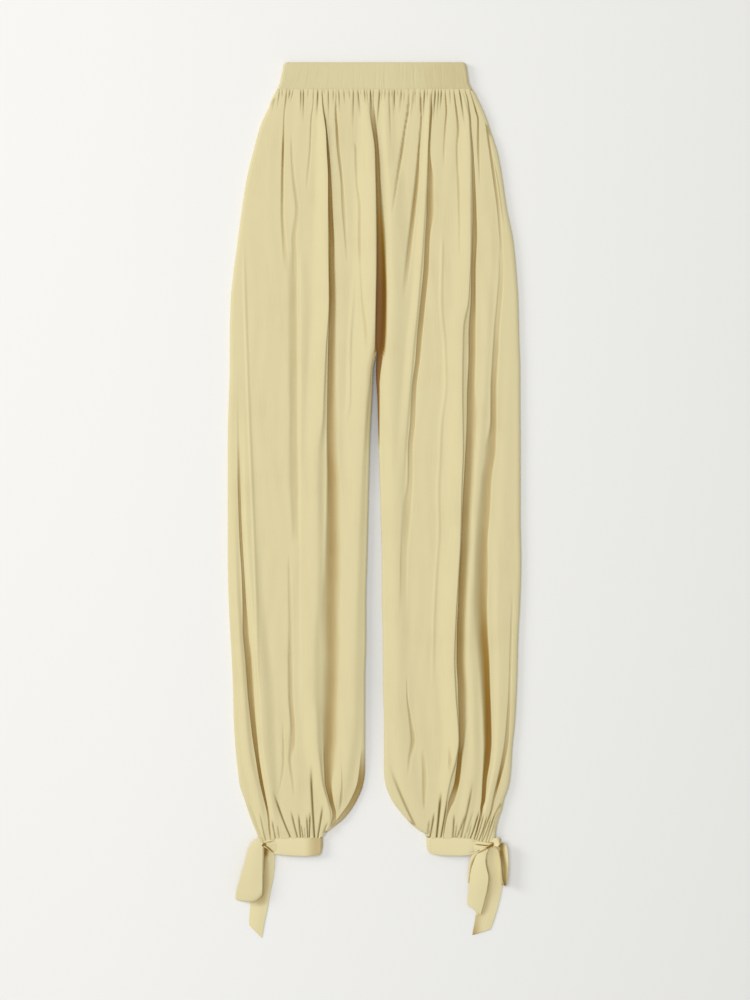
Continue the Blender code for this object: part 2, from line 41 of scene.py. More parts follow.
def through(places, values, at):
    # A smooth curve through (place, value) points: a cubic in each gap, level wherever the values turn back.
    order = np.argsort(places)
    p, v = np.asarray(places, float)[order], np.asarray(values, float)[order]
    step = np.diff(p)
    slope = np.diff(v) / step
    tangent = np.zeros(len(p))
    product = slope[:-1] * slope[1:]
    total = slope[:-1] + slope[1:]
    mean = 2 * product / np.where(np.abs(total) < 1e-12, 1, total)
    tangent[1:-1] = np.where(product > 0, mean, 0)
    tangent[0], tangent[-1] = slope[0], slope[-1]
    a = np.clip(np.asarray(at, float), p[0], p[-1])
    k = np.clip(np.searchsorted(p, a, side="right") - 1, 0, len(p) - 2)
    t = (a - p[k]) / step[k]
    return ((1 + 2 * t) * (1 - t) ** 2 * v[k] + t * (1 - t) ** 2 * tangent[k] * step[k]
            + t * t * (3 - 2 * t) * v[k + 1] - t * t * (1 - t) * tangent[k + 1] * step[k])


def columnAt(table, at, column=1):
    # One column of a table as a smooth curve over its first column.
    return through([row[0] for row in table], [row[column] for row in table], at)


def easeIn(share):
    # 0 to 1 with level ends: 3s^2 - 2s^3.
    s = np.clip(share, 0, 1)
    return s * s * (3 - 2 * s)


def bell(away):
    # 1 in the middle, dying away to both sides: e to the minus square.
    return np.exp(-away ** 2)


def hump(away, left, right):
    # Half a cosine wave to each side: 1 on the line, 0 at the reach.
    share = np.clip(np.abs(away) / np.where(away < 0, left, right), 0, 1)
    return 0.5 + 0.5 * np.cos(np.pi * share)


def gridPiece(name, points, wrapRows=False, wrapCols=False, flip=False, capped=False, uv=None, values=None):
    # points[row, column] is the surface; each cell of the grid is one quad, a wrapped side joins its start,
    # and a cap closes the first and the last row of a tube.
    rows, cols = points.shape[:2]
    r = np.arange(rows if wrapRows else rows - 1)
    c = np.arange(cols if wrapCols else cols - 1)
    rr, cc = np.meshgrid(r, c, indexing="ij")
    r2, c2 = (rr + 1) % rows, (cc + 1) % cols
    quads = np.stack([rr * cols + cc, r2 * cols + cc, r2 * cols + c2, rr * cols + c2], axis=-1).reshape(-1, 4)
    if flip:
        quads = quads[:, ::-1]
    ends = [list(range(cols)), list(range(rows * cols - 1, (rows - 1) * cols - 1, -1))] if capped else []
    mesh = bpy.data.meshes.new(name)
    mesh.from_pydata((points.reshape(-1, 3) * mm).tolist(), [], quads.tolist() + ends)
    uv = points[:, :, :2] if uv is None else uv
    layer = mesh.uv_layers.new(name="cloth")
    corner = np.zeros(len(mesh.loops), int)
    mesh.loops.foreach_get("vertex_index", corner)
    layer.data.foreach_set("uv", (uv.reshape(-1, 2) * mm)[corner].astype(np.float32).ravel())
    for attribute, data in (values or {}).items():
        layer = mesh.attributes.new(attribute, "FLOAT", "POINT")
        layer.data.foreach_set("value", data.astype(np.float32).ravel())
    mesh.polygons.foreach_set("use_smooth", np.ones(len(mesh.polygons), bool))
    piece = bpy.data.objects.new(name, mesh)
    bpy.context.scene.collection.objects.link(piece)
    return piece


def dress(piece, material, node):
    piece.data.materials.append(materials[material])
    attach(piece, "root")
    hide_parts(node)
    return piece


def plug(tree, value, socket):
    # A socket takes a plain value or another node's output.
    if isinstance(value, bpy.types.NodeSocket):
        tree.links.new(value, socket)
    else:
        socket.default_value = value


def maths(tree, operation, *values):
    node = tree.nodes.new("ShaderNodeMath")
    node.operation = operation
    for k, value in enumerate(values):
        plug(tree, value, node.inputs[k])
    return node.outputs[0]


def ranged(tree, value, start, end, smooth=False):
    # 0 at the start of a range and 1 at its end.
    node = tree.nodes.new("ShaderNodeMapRange")
    node.interpolation_type = "SMOOTHSTEP" if smooth else "LINEAR"
    for socket, given in (("Value", value), ("From Min", start), ("From Max", end)):
        plug(tree, given, node.inputs[socket])
    return node.outputs["Result"]


def mixed(tree, share, first, second):
    # Two colours mixed by a share of 0 to 1.
    node = tree.nodes.new("ShaderNodeMix")
    node.data_type = "RGBA"
    for socket, given in (("Factor", share), ("A", first), ("B", second)):
        plug(tree, given, node.inputs[socket])
    return node.outputs["Result"]


def noise(tree, vector, scale, detail):
    node = tree.nodes.new("ShaderNodeTexNoise")
    for socket, given in (("Vector", vector), ("Scale", scale), ("Detail", detail)):
        plug(tree, given, node.inputs[socket])
    return node.outputs["Fac"]


# Camera: metres above the floor, length of the picture on the floor, and where it aims.
view = {"height": 4.0, "shown": 1.3241, "aim": (0.0007, 0.0), "sensor": 36}
keyLight = {"place": (-5.8, 2.0, 3.0), "size": 3.0, "power": 185, "colour": (1.0, 0.985, 0.955)}
fillLight = {"place": (-0.6, 0.4, 5.6), "size": 4.0, "power": 165, "colour": (1.0, 1.0, 0.99)}
worldLook = {"colour": (0.96, 0.975, 1.0), "strength": 0.42}

cameraData = bpy.data.cameras.new("camera")
cameraData.sensor_width = view["sensor"]
cameraData.lens = view["sensor"] * view["height"] / view["shown"]
cameraData.dof.use_dof = False
cameraObject = bpy.data.objects.new("camera", cameraData)
cameraObject.location = (*view["aim"], view["height"])
bpy.context.scene.collection.objects.link(cameraObject)
bpy.context.scene.camera = cameraObject
bpy.context.scene.view_settings.view_transform = "Standard"


def softLight(name, look):
    # A round light that looks at the middle of the trousers.
    light = bpy.data.lights.new(name, "AREA")
    light.shape = "DISK"
    light.size, light.energy, light.color = look["size"], look["power"], look["colour"]
    lamp = bpy.data.objects.new(name, light)
    lamp.location = look["place"]
    x, y, z = look["place"]
    lamp.rotation_euler = (np.arctan2(np.hypot(x, y), z), 0, np.arctan2(x, -y))
    bpy.context.scene.collection.objects.link(lamp)


softLight("keyLight", keyLight)
softLight("fillLight", fillLight)

world = bpy.data.worlds.new("studio")
world.use_nodes = True
world.node_tree.nodes["Background"].inputs["Color"].default_value = (*worldLook["colour"], 1)
world.node_tree.nodes["Background"].inputs["Strength"].default_value = worldLook["strength"]
bpy.context.scene.world = world

# The floor, in metres: painted falloff of light, a little greyer to the right across its range in x, and a
# painted shadow in the gap between the legs, within "gapAcross" of the middle and along "gapAlong" by the
# shares in "gapShade".
floorLook = {"size": 14.0, "drop": 0.0004, "roughness": 0.9, "left": (0.865, 0.855, 0.822),
             "right": (0.80, 0.795, 0.765), "lightFalloff": (-0.35, 0.5), "gap": (0.42, 0.42, 0.42),
             "gapAcross": (0.034, 0.006), "gapAlong": (-0.45, 0.35), "gapEnds": (0.06, 0.90),
             "gapShade": [(0.26, 0.34), (0.56, 0.38), (0.70, 0.75), (0.77, 1.0)]}


def paleFloor():
    # A flat square just under the trousers, its colour mixed by place.
    half = floorLook["size"] / 2 / mm
    corners = np.array([[[-half, -half], [half, -half]], [[-half, half], [half, half]]], float)
    points = np.concatenate([corners, np.full((2, 2, 1), -floorLook["drop"] / mm)], axis=-1)
    floor = gridPiece("floor", points, flip=True)
    material = bpy.data.materials.new("pale floor")
    material.use_nodes = True
    tree = material.node_tree
    shader = tree.nodes["Principled BSDF"]
    shader.inputs["Roughness"].default_value = floorLook["roughness"]
    place = tree.nodes.new("ShaderNodeTexCoord")
    split = tree.nodes.new("ShaderNodeSeparateXYZ")
    plug(tree, place.outputs["Object"], split.inputs["Vector"])
    # Painted falloff of light towards the right, then a painted shadow in the gap between the legs.
    lightFalloff = ranged(tree, split.outputs["X"], *floorLook["lightFalloff"])
    paper = mixed(tree, lightFalloff, (*floorLook["left"], 1), (*floorLook["right"], 1))
    between = ranged(tree, maths(tree, "ABSOLUTE", split.outputs["X"]), *floorLook["gapAcross"], smooth=True)
    ramp = tree.nodes.new("ShaderNodeValToRGB")
    plug(tree, ranged(tree, split.outputs["Y"], *floorLook["gapAlong"]), ramp.inputs["Fac"])
    stops = ramp.color_ramp.elements
    stops[0].position, stops[1].position = floorLook["gapEnds"]
    stops[1].color = (0, 0, 0, 1)
    for position, grey in floorLook["gapShade"]:
        stops.new(position).color = (grey, grey, grey, 1)
    shade = maths(tree, "MULTIPLY", between, ramp.outputs["Color"])
    plug(tree, mixed(tree, shade, paper, (*floorLook["gap"], 1)), shader.inputs["Base Color"])
    floor.data.materials.append(material)
    return floor


paleFloor()
print("camera, lights and floor ready")

# Scales are per metre of cloth. "past" is where the shade painted into a fold turns from its shade colour to
# the darkest one; the last two colours are painted shade, for the deepest folds and for the fine gathers.
crepeAndShadeLook = {"streakStretch": (1.0, 0.045, 1.0), "streakScale": 620.0, "cloudScale": 14.0, "grainHeight": 0.6,
             "cloudTone": 0.22, "streakTone": 0.35, "grainRoughness": 0.25, "past": (1.0, 1.3),
             "darkestShade": (0.225, 0.096, 0.011), "gatherShade": (0.175, 0.106, 0.004)}


def crepeAndShadeGroup():
    # Crepe: a fine pebbled grain with short streaks along the cloth, and painted shade: a warmer, darker
    # colour down in the folds and a darker, less warm one in the fine gathers.
    group = bpy.data.node_groups.new("crepeAndShade", "ShaderNodeTree")
    for socket, kind in (("Cloth", "NodeSocketVector"), ("Bright", "NodeSocketColor"),
                         ("Deep", "NodeSocketColor"), ("Fold", "NodeSocketFloat"),
                         ("Pinch", "NodeSocketFloat"), ("Grain Scale", "NodeSocketFloat"),
                         ("Streak", "NodeSocketFloat"), ("Base Roughness", "NodeSocketFloat")):
        group.interface.new_socket(socket, in_out="INPUT", socket_type=kind)
    for socket, kind in (("Color", "NodeSocketColor"), ("Roughness", "NodeSocketFloat"),
                         ("Height", "NodeSocketFloat")):
        group.interface.new_socket(socket, in_out="OUTPUT", socket_type=kind)
    given = group.nodes.new("NodeGroupInput").outputs
    result = group.nodes.new("NodeGroupOutput").inputs

    def swing(value, strength):
        # How far a noise lies from its middle, times a strength.
        return maths(group, "MULTIPLY", maths(group, "SUBTRACT", value, 0.5), strength)

    stretch = group.nodes.new("ShaderNodeVectorMath")
    stretch.operation = "MULTIPLY"
    stretch.inputs[1].default_value = crepeAndShadeLook["streakStretch"]
    plug(group, given["Cloth"], stretch.inputs[0])
    grain = noise(group, given["Cloth"], given["Grain Scale"], 2.0)
    streak = noise(group, stretch.outputs["Vector"], crepeAndShadeLook["streakScale"], 3.0)
    cloud = noise(group, given["Cloth"], crepeAndShadeLook["cloudScale"], 2.0)
    streaks = swing(streak, given["Streak"])
    plug(group, maths(group, "ADD", streaks, swing(grain, crepeAndShadeLook["grainHeight"])), result["Height"])

    # Painted shade: the fold mask, with a little random cloud and the streaks, mixes the cloth towards the
    # shade colour, past 1 towards the darkest one, and the pinch mask mixes it towards the gathers' shade
    # colour.
    shadeAndTone = maths(group, "ADD", given["Fold"], swing(cloud, crepeAndShadeLook["cloudTone"]))
    shadeAndTone = maths(group, "SUBTRACT", shadeAndTone, maths(group, "MULTIPLY", streaks, crepeAndShadeLook["streakTone"]))
    colour = mixed(group, ranged(group, shadeAndTone, 0.0, 1.0), given["Bright"], given["Deep"])
    past = ranged(group, shadeAndTone, *crepeAndShadeLook["past"])            # past 1 hardly any light gets in
    colour = mixed(group, past, colour, (*crepeAndShadeLook["darkestShade"], 1))
    plug(group, mixed(group, given["Pinch"], colour, (*crepeAndShadeLook["gatherShade"], 1)), result["Color"])
    rough = swing(grain, crepeAndShadeLook["grainRoughness"])
    plug(group, maths(group, "ADD", given["Base Roughness"], rough), result["Roughness"])
    return group


crepeAndShade = crepeAndShadeGroup()

# "bright" is the cloth's own colour; "deep" is the painted shade colour that the folds are mixed towards.
clothLooks = {
    "panelCloth": {"bright": (0.685, 0.600, 0.335), "deep": (0.30, 0.165, 0.012), "streak": 0.5,
                   "roughness": 0.52, "bump": 0.00016},
    "bandCloth": {"bright": (0.655, 0.580, 0.325), "deep": (0.36, 0.23, 0.05), "streak": 1.3,
                  "roughness": 0.56, "bump": 0.00026},
    "tieCloth": {"bright": (0.745, 0.655, 0.370), "deep": (0.30, 0.165, 0.012), "streak": 0.3,
                 "roughness": 0.52, "bump": 0.00012},
}
everyCloth = {"grain": 1500.0, "specular": 0.25, "sheen": 0.08, "sheenRoughness": 0.45,
              "sheenTint": (1.0, 0.96, 0.84)}


def clothMaterial(name, look):
    material = bpy.data.materials.new(name)
    material.use_nodes = True
    tree = material.node_tree
    shader = tree.nodes["Principled BSDF"]
    place = tree.nodes.new("ShaderNodeUVMap")
    place.uv_map = "cloth"
    cloth = tree.nodes.new("ShaderNodeGroup")
    cloth.node_tree = crepeAndShade
    plug(tree, place.outputs["UV"], cloth.inputs["Cloth"])
    # The "fold" and "pinch" attributes carry the painted shade.
    for attribute, socket in (("fold", "Fold"), ("pinch", "Pinch")):
        mask = tree.nodes.new("ShaderNodeAttribute")
        mask.attribute_name = attribute
        plug(tree, mask.outputs["Fac"], cloth.inputs[socket])
    cloth.inputs["Bright"].default_value = (*look["bright"], 1)
    cloth.inputs["Deep"].default_value = (*look["deep"], 1)
    cloth.inputs["Grain Scale"].default_value = everyCloth["grain"]
    cloth.inputs["Streak"].default_value = look["streak"]
    cloth.inputs["Base Roughness"].default_value = look["roughness"]
    bump = tree.nodes.new("ShaderNodeBump")
    bump.inputs["Strength"].default_value = 1.0
    bump.inputs["Distance"].default_value = look["bump"]
    plug(tree, cloth.outputs["Height"], bump.inputs["Height"])
    plug(tree, cloth.outputs["Color"], shader.inputs["Base Color"])
    plug(tree, cloth.outputs["Roughness"], shader.inputs["Roughness"])
    plug(tree, bump.outputs["Normal"], shader.inputs["Normal"])
    shader.inputs["Specular IOR Level"].default_value = everyCloth["specular"]
    shader.inputs["Sheen Weight"].default_value = everyCloth["sheen"]
    shader.inputs["Sheen Roughness"].default_value = everyCloth["sheenRoughness"]
    shader.inputs["Sheen Tint"].default_value = (*everyCloth["sheenTint"], 1)
    return material


materials = {name: clothMaterial(name, look) for name, look in clothLooks.items()}
print("cloth materials ready")

# From here on sizes are in millimetres: y runs from the cuffs to the waist, x to the right, z up.
# The legs' outlines: x at each y.
outline = {
    "y": (
        542, 538, 530, 516, 503, 483, 463, 437, 410, 384, 344, 304, 265, 212, 199, 172, 132, 79, 26, -26,
        -79, -132, -185, -238, -291, -331, -357, -377, -397, -410, -424, -434, -442, -446),
    "leftOuter": (
        -129, -131.7, -135.7, -141, -147.6, -154.3, -159.6, -166.2, -171.5, -175.4, -180.7, -186, -190,
        -191.3, -191.3, -191.3, -192.7, -194, -194, -194, -194, -192.7, -190, -187.4, -186, -183.4, -180.7,
        -178.1, -171.5, -167.5, -162.2, -156.9, -152.9, -150),
    "leftInner": (
        -2, -2, -2, -1, 0, 2, 4, 5.6, 6.6, 7.4, 8.6, 9.2, 8.6, 5, 3.6, -1.8, -3.3, -6, -7.3, -8.6, -9.9,
        -11.3, -11.3, -12.6, -12.6, -12.6, -12.6, -15.2, -23.2, -31.1, -43, -56.3, -65.5, -68),
    "rightInner": (
        -2, -2, -2, -1, 0, 2, 4, 5.6, 6.6, 7.4, 8.6, 9.2, 8.6, 5, 3.6, 2, 4, 5.4, 7.3, 8.6, 9.9, 9.9, 11.3,
        11.3, 12.6, 12.6, 12.6, 15.2, 23.2, 32.4, 44.4, 55, 66.9, 69),
    "rightOuter": (
        130.4, 133.1, 137, 143.7, 149, 155.6, 162.2, 167.5, 171.5, 175.4, 183.4, 187.4, 190, 191.3, 191.8,
        192.7, 192.7, 193, 193, 193, 194, 192.7, 190, 188.7, 186, 182.1, 180.7, 178.1, 171.5, 168.8, 163.5,
        160.9, 159.6, 158),
}

panel = {"waist": 541.9, "cuff": -445.5, "crotch": 186, "crotchBlend": 16, "roll": 4.4, "rollSteps": 12,
         "plain": 6.6, "crown": 1.0, "lowest": 2.2, "lowSharp": 1.6, "wander": (47, 31, 23, 17),
         "wanderRise": 0.28, "edgeEase": 6, "seamRise": 7.9, "seamReach": 8, "lap": 1.4, "lapReach": 5,
         "lapDip": 1.1, "lowReach": 26, "columns": 1.75, "bunching": 0.09, "leastRoom": 2.4, "floor": 0.15}
# How a fold is formed: a lip whose right side is sharper than "sharp" stands up to "lipStep" over its trough,
# and a trough narrower than "narrow" gets a flat bottom and steep sides; "shade" scales the shade painted
# into it.
foldForm = {"lipStep": 1.6, "sharp": 4.2, "sharpBlend": 1.2, "lipRise": 4, "narrow": 13, "narrowBlend": 6,
            "flat": 1.6, "tighterLeft": 0.34, "tighterRight": 0.14, "depth": 0.88, "shade": 1.06}
# The gathers: how they begin, their width, their depth with no and with full painted darkness, how much shade
# is painted into them, and the puffs between them.
waistForm = {"start": 0.3, "full": 7, "width": 0.68, "narrow": 0.8, "wider": 0.6, "dip": 0.9, "deeper": 1.2,
             "shade": 1.55, "puffReach": 30}
cuffForm = {"curve": 0.25, "start": 2.4, "width": 0.8, "wide": 1.2, "narrower": 0.35, "dip": 0.8,
            "deeper": 1.2, "shade": 1.75, "puff": 0.9, "puffAt": 14, "puffReach": 16}
# How much shade is painted: its cap and bend, under the centre fold, and the cap in the gathers.
dark = {"most": 1.4, "bend": 0.9, "centre": 1.38, "pinch": 0.9}

# Rows of a fold: y, x, height, reach to the left, reach to the right and, for a trough, how much shade is
# painted into it.
leftFolds = {
    "sideTrench": [
        (150, -180, 0, 3, 3), (80, -179.4, -0.7, 3, 3, 0.08), (26, -179, -2.2, 3.6, 3, 0.4),
        (-13, -178, -3.2, 3.4, 3, 0.46), (-53, -176.6, -3.4, 3.4, 3.4, 0.48),
        (-93, -174.2, -3.6, 3.2, 3.4, 0.52), (-132, -172.6, -3.8, 3.4, 4.6, 0.58),
        (-172, -171.6, -3.8, 5, 8, 0.55), (-212, -167.4, -4, 7, 8, 0.62), (-252, -165.4, -4.2, 5, 9, 0.65),
        (-291, -161.4, -4.4, 5, 7, 0.7), (-318, -158.2, -4.4, 5, 6, 0.74),
        (-344, -154.4, -4.4, 4.4, 4, 0.82), (-371, -149.8, -4.2, 4.6, 3.4, 0.92),
        (-397, -144.4, -3.6, 3, 2.6, 0.92), (-408, -142, -3, 2.6, 2.2, 0.8),
        (-418, -140.4, -2.4, 2, 2, 0.6), (-433, -139, -2, 2, 2, 0.45), (-446, -137, -1.6, 2, 2, 0.4)],
    "sideLip": [
        (140, -172, 0, 7, 14), (60, -171, 0.8, 5, 15), (-13, -169, 1.9, 6, 16), (-93, -165, 2.7, 6, 17),
        (-172, -158, 3.2, 6, 18), (-252, -151, 3.6, 6, 20), (-330, -146, 3.6, 7, 18),
        (-388, -138, 2.6, 5, 12), (-430, -131, 0.8, 5, 10)],
    "sideSwell": [
        (60, -186, 0, 8, 6), (-66, -184, 1, 8, 6), (-159, -180, 1.8, 9, 6), (-242, -174, 2.4, 10, 7),
        (-330, -167, 2.6, 12, 8), (-388, -155, 2, 12, 8), (-430, -146, 0.6, 8, 6)],
    "pressedCrease": [
        (340, -173.4, 0, 3, 4), (287, -172.1, 0.8, 3, 4), (155, -167.8, 0.9, 3, 4), (26, -162.6, 0.9, 3, 4),
        (-93, -157.8, 0.8, 3, 4), (-159, -155.6, 0.7, 3, 4), (-225, -154.8, 0.5, 3, 4),
        (-275, -153.9, 0, 3, 4)],
    "hipCrease": [
        (541, -116, -1.2, 1.6, 1.8, 0.35), (530, -117.2, -1.6, 1.5, 1.8, 0.42),
        (514, -119, -1.2, 1.5, 1.8, 0.14), (500, -119.8, -1.2, 1.5, 2, 0.2),
        (490, -120.2, -1.6, 1.5, 2.2, 0.28), (463, -121.2, -2.4, 1.8, 2.8, 0.72),
        (424, -122, -2.2, 2.2, 3, 0.48), (384, -122.2, -1.8, 2.6, 4, 0.27),
        (344, -120.2, -1.2, 3.4, 5, 0.2), (300, -116, 0, 6, 8)],
    "hipCreaseTwo": [
        (485, -109.6, 0, 2.6, 3), (463, -109.4, -0.7, 2.6, 3, 0.13), (424, -107, -0.9, 3, 3.6, 0.16),
        (384, -101.6, -0.9, 6, 3.4, 0.15), (344, -106.4, -0.9, 6, 5, 0.2), (310, -104.6, -0.6, 8, 5, 0.14),
        (285, -104, 0, 10, 4)],
    "thighHollow": [
        (335, -104, 0, 12, 5), (305, -105, -1.3, 13, 5, 0.16), (265, -104.8, -1.7, 12, 4, 0.17),
        (200, -104.6, -2, 12, 5, 0.18), (100, -104.6, -2, 11, 5.4, 0.17), (26, -104, -1.7, 12, 6, 0.14),
        (-30, -103, -1.4, 10, 6, 0.11), (-60, -102, 0, 10, 6)],
    "thighLip": [
        (330, -97, 0, 2, 12), (298, -97.4, 0.8, 2.2, 12), (100, -97.2, 0.9, 2.2, 12),
        (-100, -96.8, 0.7, 2.4, 12), (-251, -96.4, 0.4, 2.6, 12), (-300, -96, 0, 3, 12)],
    "kneeCrease": [
        (-70, -112.6, 0, 3, 3), (-93, -112.6, -0.8, 3, 3.4, 0.1), (-172, -111.2, -1, 4.6, 4.6, 0.14),
        (-212, -111.8, -1.4, 4.6, 5.4, 0.22), (-252, -111.6, -1.6, 4.6, 6.4, 0.26),
        (-291, -109, -1.8, 5, 6.4, 0.32), (-318, -106.4, -1.7, 10, 3.4, 0.27),
        (-344, -111, -1.2, 5, 3, 0.17), (-371, -108.4, -0.8, 2.6, 3, 0.13), (-395, -106, 0, 2, 3)],
    "kneeCreaseTwo": [
        (-290, -121, 0, 2, 2), (-318, -120.6, -0.7, 2, 2.2, 0.15), (-344, -120.4, -0.8, 2.2, 3, 0.17),
        (-375, -124, -0.5, 2, 2.4, 0.1), (-390, -128, 0, 2, 2)],
    "hipCreaseThree": [
        (541, -80.6, -1.2, 1.4, 1.6, 0.3), (524, -81, -0.9, 1.4, 1.8, 0.13),
        (503, -83.6, -1, 1.8, 2.2, 0.2), (463, -85, -0.9, 2.4, 2.6, 0.15), (430, -88, -0.6, 3, 3, 0.08),
        (405, -90, 0, 3, 4)],
    "mainLip": [
        (541, -73, 0.4, 4, 2.4), (520, -70.6, 1.4, 7, 2.4), (503, -69.4, 2.4, 10, 2.6),
        (487, -67.6, 3.4, 12, 2.6), (463, -66.8, 3.9, 14, 2.6), (424, -65, 4.2, 16, 2.6),
        (384, -65, 4.4, 18, 2.6), (344, -64.8, 4.4, 20, 2.8), (265, -64, 4.6, 22, 2.8),
        (225, -65.4, 4.5, 22, 3.4), (185, -67.4, 4.2, 22, 5), (146, -69.4, 3.8, 22, 6),
        (106, -71, 3.3, 22, 7), (66, -77, 2.6, 20, 12), (26, -78, 2.4, 20, 13), (-53, -78, 2.4, 20, 13),
        (-132, -79, 2.6, 20, 14), (-212, -84, 2.9, 18, 18), (-252, -84, 3.2, 17, 17),
        (-291, -79.6, 3.6, 17, 12), (-318, -79, 3.8, 17, 12), (-344, -75.6, 4, 16, 8),
        (-371, -72, 3.6, 13, 6), (-397, -64.6, 2.6, 9, 4), (-420, -60, 1, 7, 4), (-440, -60, 0, 6, 4)],
    "mainTrench": [
        (541, -69, -1.4, 1.3, 1.4, 0.3), (530, -69, -2, 1.4, 1.6, 0.45), (514, -68, -2.8, 1.6, 2.4, 0.55),
        (503, -66.2, -3.2, 1.7, 2.8, 0.66), (490, -65, -3.4, 1.8, 3.2, 0.85),
        (463, -62.6, -3.8, 2.2, 4.2, 0.85), (424, -60.4, -4.1, 2.6, 5.2, 0.82),
        (384, -59.2, -4.3, 3.4, 6.4, 0.86), (344, -58.2, -4.4, 3.8, 8, 0.86),
        (305, -58.8, -4.3, 3.4, 9.6, 0.85), (265, -58.4, -4.2, 2.8, 10.8, 0.84),
        (225, -59, -4, 3.4, 11.4, 0.76), (185, -59.4, -3.8, 4.6, 12, 0.7),
        (146, -59.4, -3.6, 6, 12.4, 0.66), (106, -59.4, -3.4, 7, 13.6, 0.64),
        (66, -58.6, -3.2, 8, 13, 0.64), (26, -57.4, -3.1, 9, 14, 0.68), (-53, -57, -3, 11, 15, 0.68),
        (-93, -57.2, -3, 12, 16, 0.64), (-132, -57.6, -3, 14, 16, 0.62), (-172, -57.2, -3, 15, 15, 0.59),
        (-212, -56.6, -3, 15, 14, 0.56), (-252, -57.2, -4, 15, 13, 0.56), (-291, -60, -4.2, 12, 15, 0.63),
        (-318, -60.6, -4.4, 11, 15, 0.66), (-344, -63, -4.4, 8, 15, 0.66),
        (-371, -62.8, -4.4, 6.4, 10, 0.66), (-397, -58.4, -4, 4, 6, 0.8), (-417, -53, -2.8, 5, 4, 0.5),
        (-432, -57, -1, 5, 12, 0.25), (-443, -60, 0, 4, 8)],
    "frontCrease": [
        (541, -50.4, -1, 1.4, 1.4, 0.15), (524, -51, -1.4, 1.5, 1.8, 0.3),
        (516, -51.4, -1.8, 1.6, 2.4, 0.45), (490, -50.2, -2.2, 2, 3.6, 0.55), (463, -47.6, -2, 4, 3, 0.36),
        (424, -43.4, -1.8, 3, 3, 0.28), (384, -40.6, -1.4, 5, 4, 0.2), (344, -38, -0.9, 3, 3, 0.13),
        (310, -35, 0, 3, 3)],
    "swellCrease": [
        (475, -26, 0, 2.4, 2.4), (463, -24.6, -0.9, 3, 2.6, 0.2), (424, -23.8, -0.8, 2.6, 3, 0.17),
        (384, -19.8, -0.9, 4, 3, 0.2), (344, -20.6, -0.9, 3, 4, 0.2), (305, -19.2, -0.6, 2.6, 2.4, 0.1),
        (265, -17.2, -0.6, 2.4, 2.4, 0.12), (225, -13.6, -0.6, 3, 5, 0.14), (195, -12, 0, 3, 4)],
    "innerCrease": [
        (300, -27, 0, 4, 3), (265, -28.7, 0.7, 5, 3), (199, -32.4, 0.9, 5, 3), (136, -33.1, 0.8, 5, 3),
        (100, -38, 0, 5, 3)],
    "centreSwell": [
        (541, -12, 0.3, 8, 14), (505, -8.6, 2.6, 14, 14), (467, -4, 4.8, 20, 14), (432, -2, 6, 25, 16),
        (373, -1.6, 6.8, 28, 16), (265, -1.6, 6.8, 30, 16), (203, -3.4, 5.6, 29, 14),
        (172, -8, 4.6, 28, 12), (110, -14.4, 3.4, 27, 10), (26, -20, 2.8, 26, 12), (-130, -26, 2.4, 24, 14),
        (-300, -31, 2.2, 22, 16), (-380, -44, 1.4, 18, 16), (-430, -70, 0, 14, 14)],
    "innerSliver": [
        (-325, -15.6, 0, 2, 3), (-344, -17, -1.2, 3, 3, 0.3), (-371, -19.6, -2.4, 5, 4, 0.7),
        (-397, -29.4, -2.4, 5, 5, 0.6), (-417, -42.4, -2, 6, 6, 0.4), (-432, -55, -1, 4, 6, 0.2),
        (-441, -62, 0, 3, 4)],
    "innerLow": [
        (-345, -44, 0, 2, 2), (-371, -43, -0.8, 2.4, 2.6, 0.15), (-397, -44.4, -1, 3.6, 3.4, 0.24),
        (-412, -46, 0, 3, 3)],
}

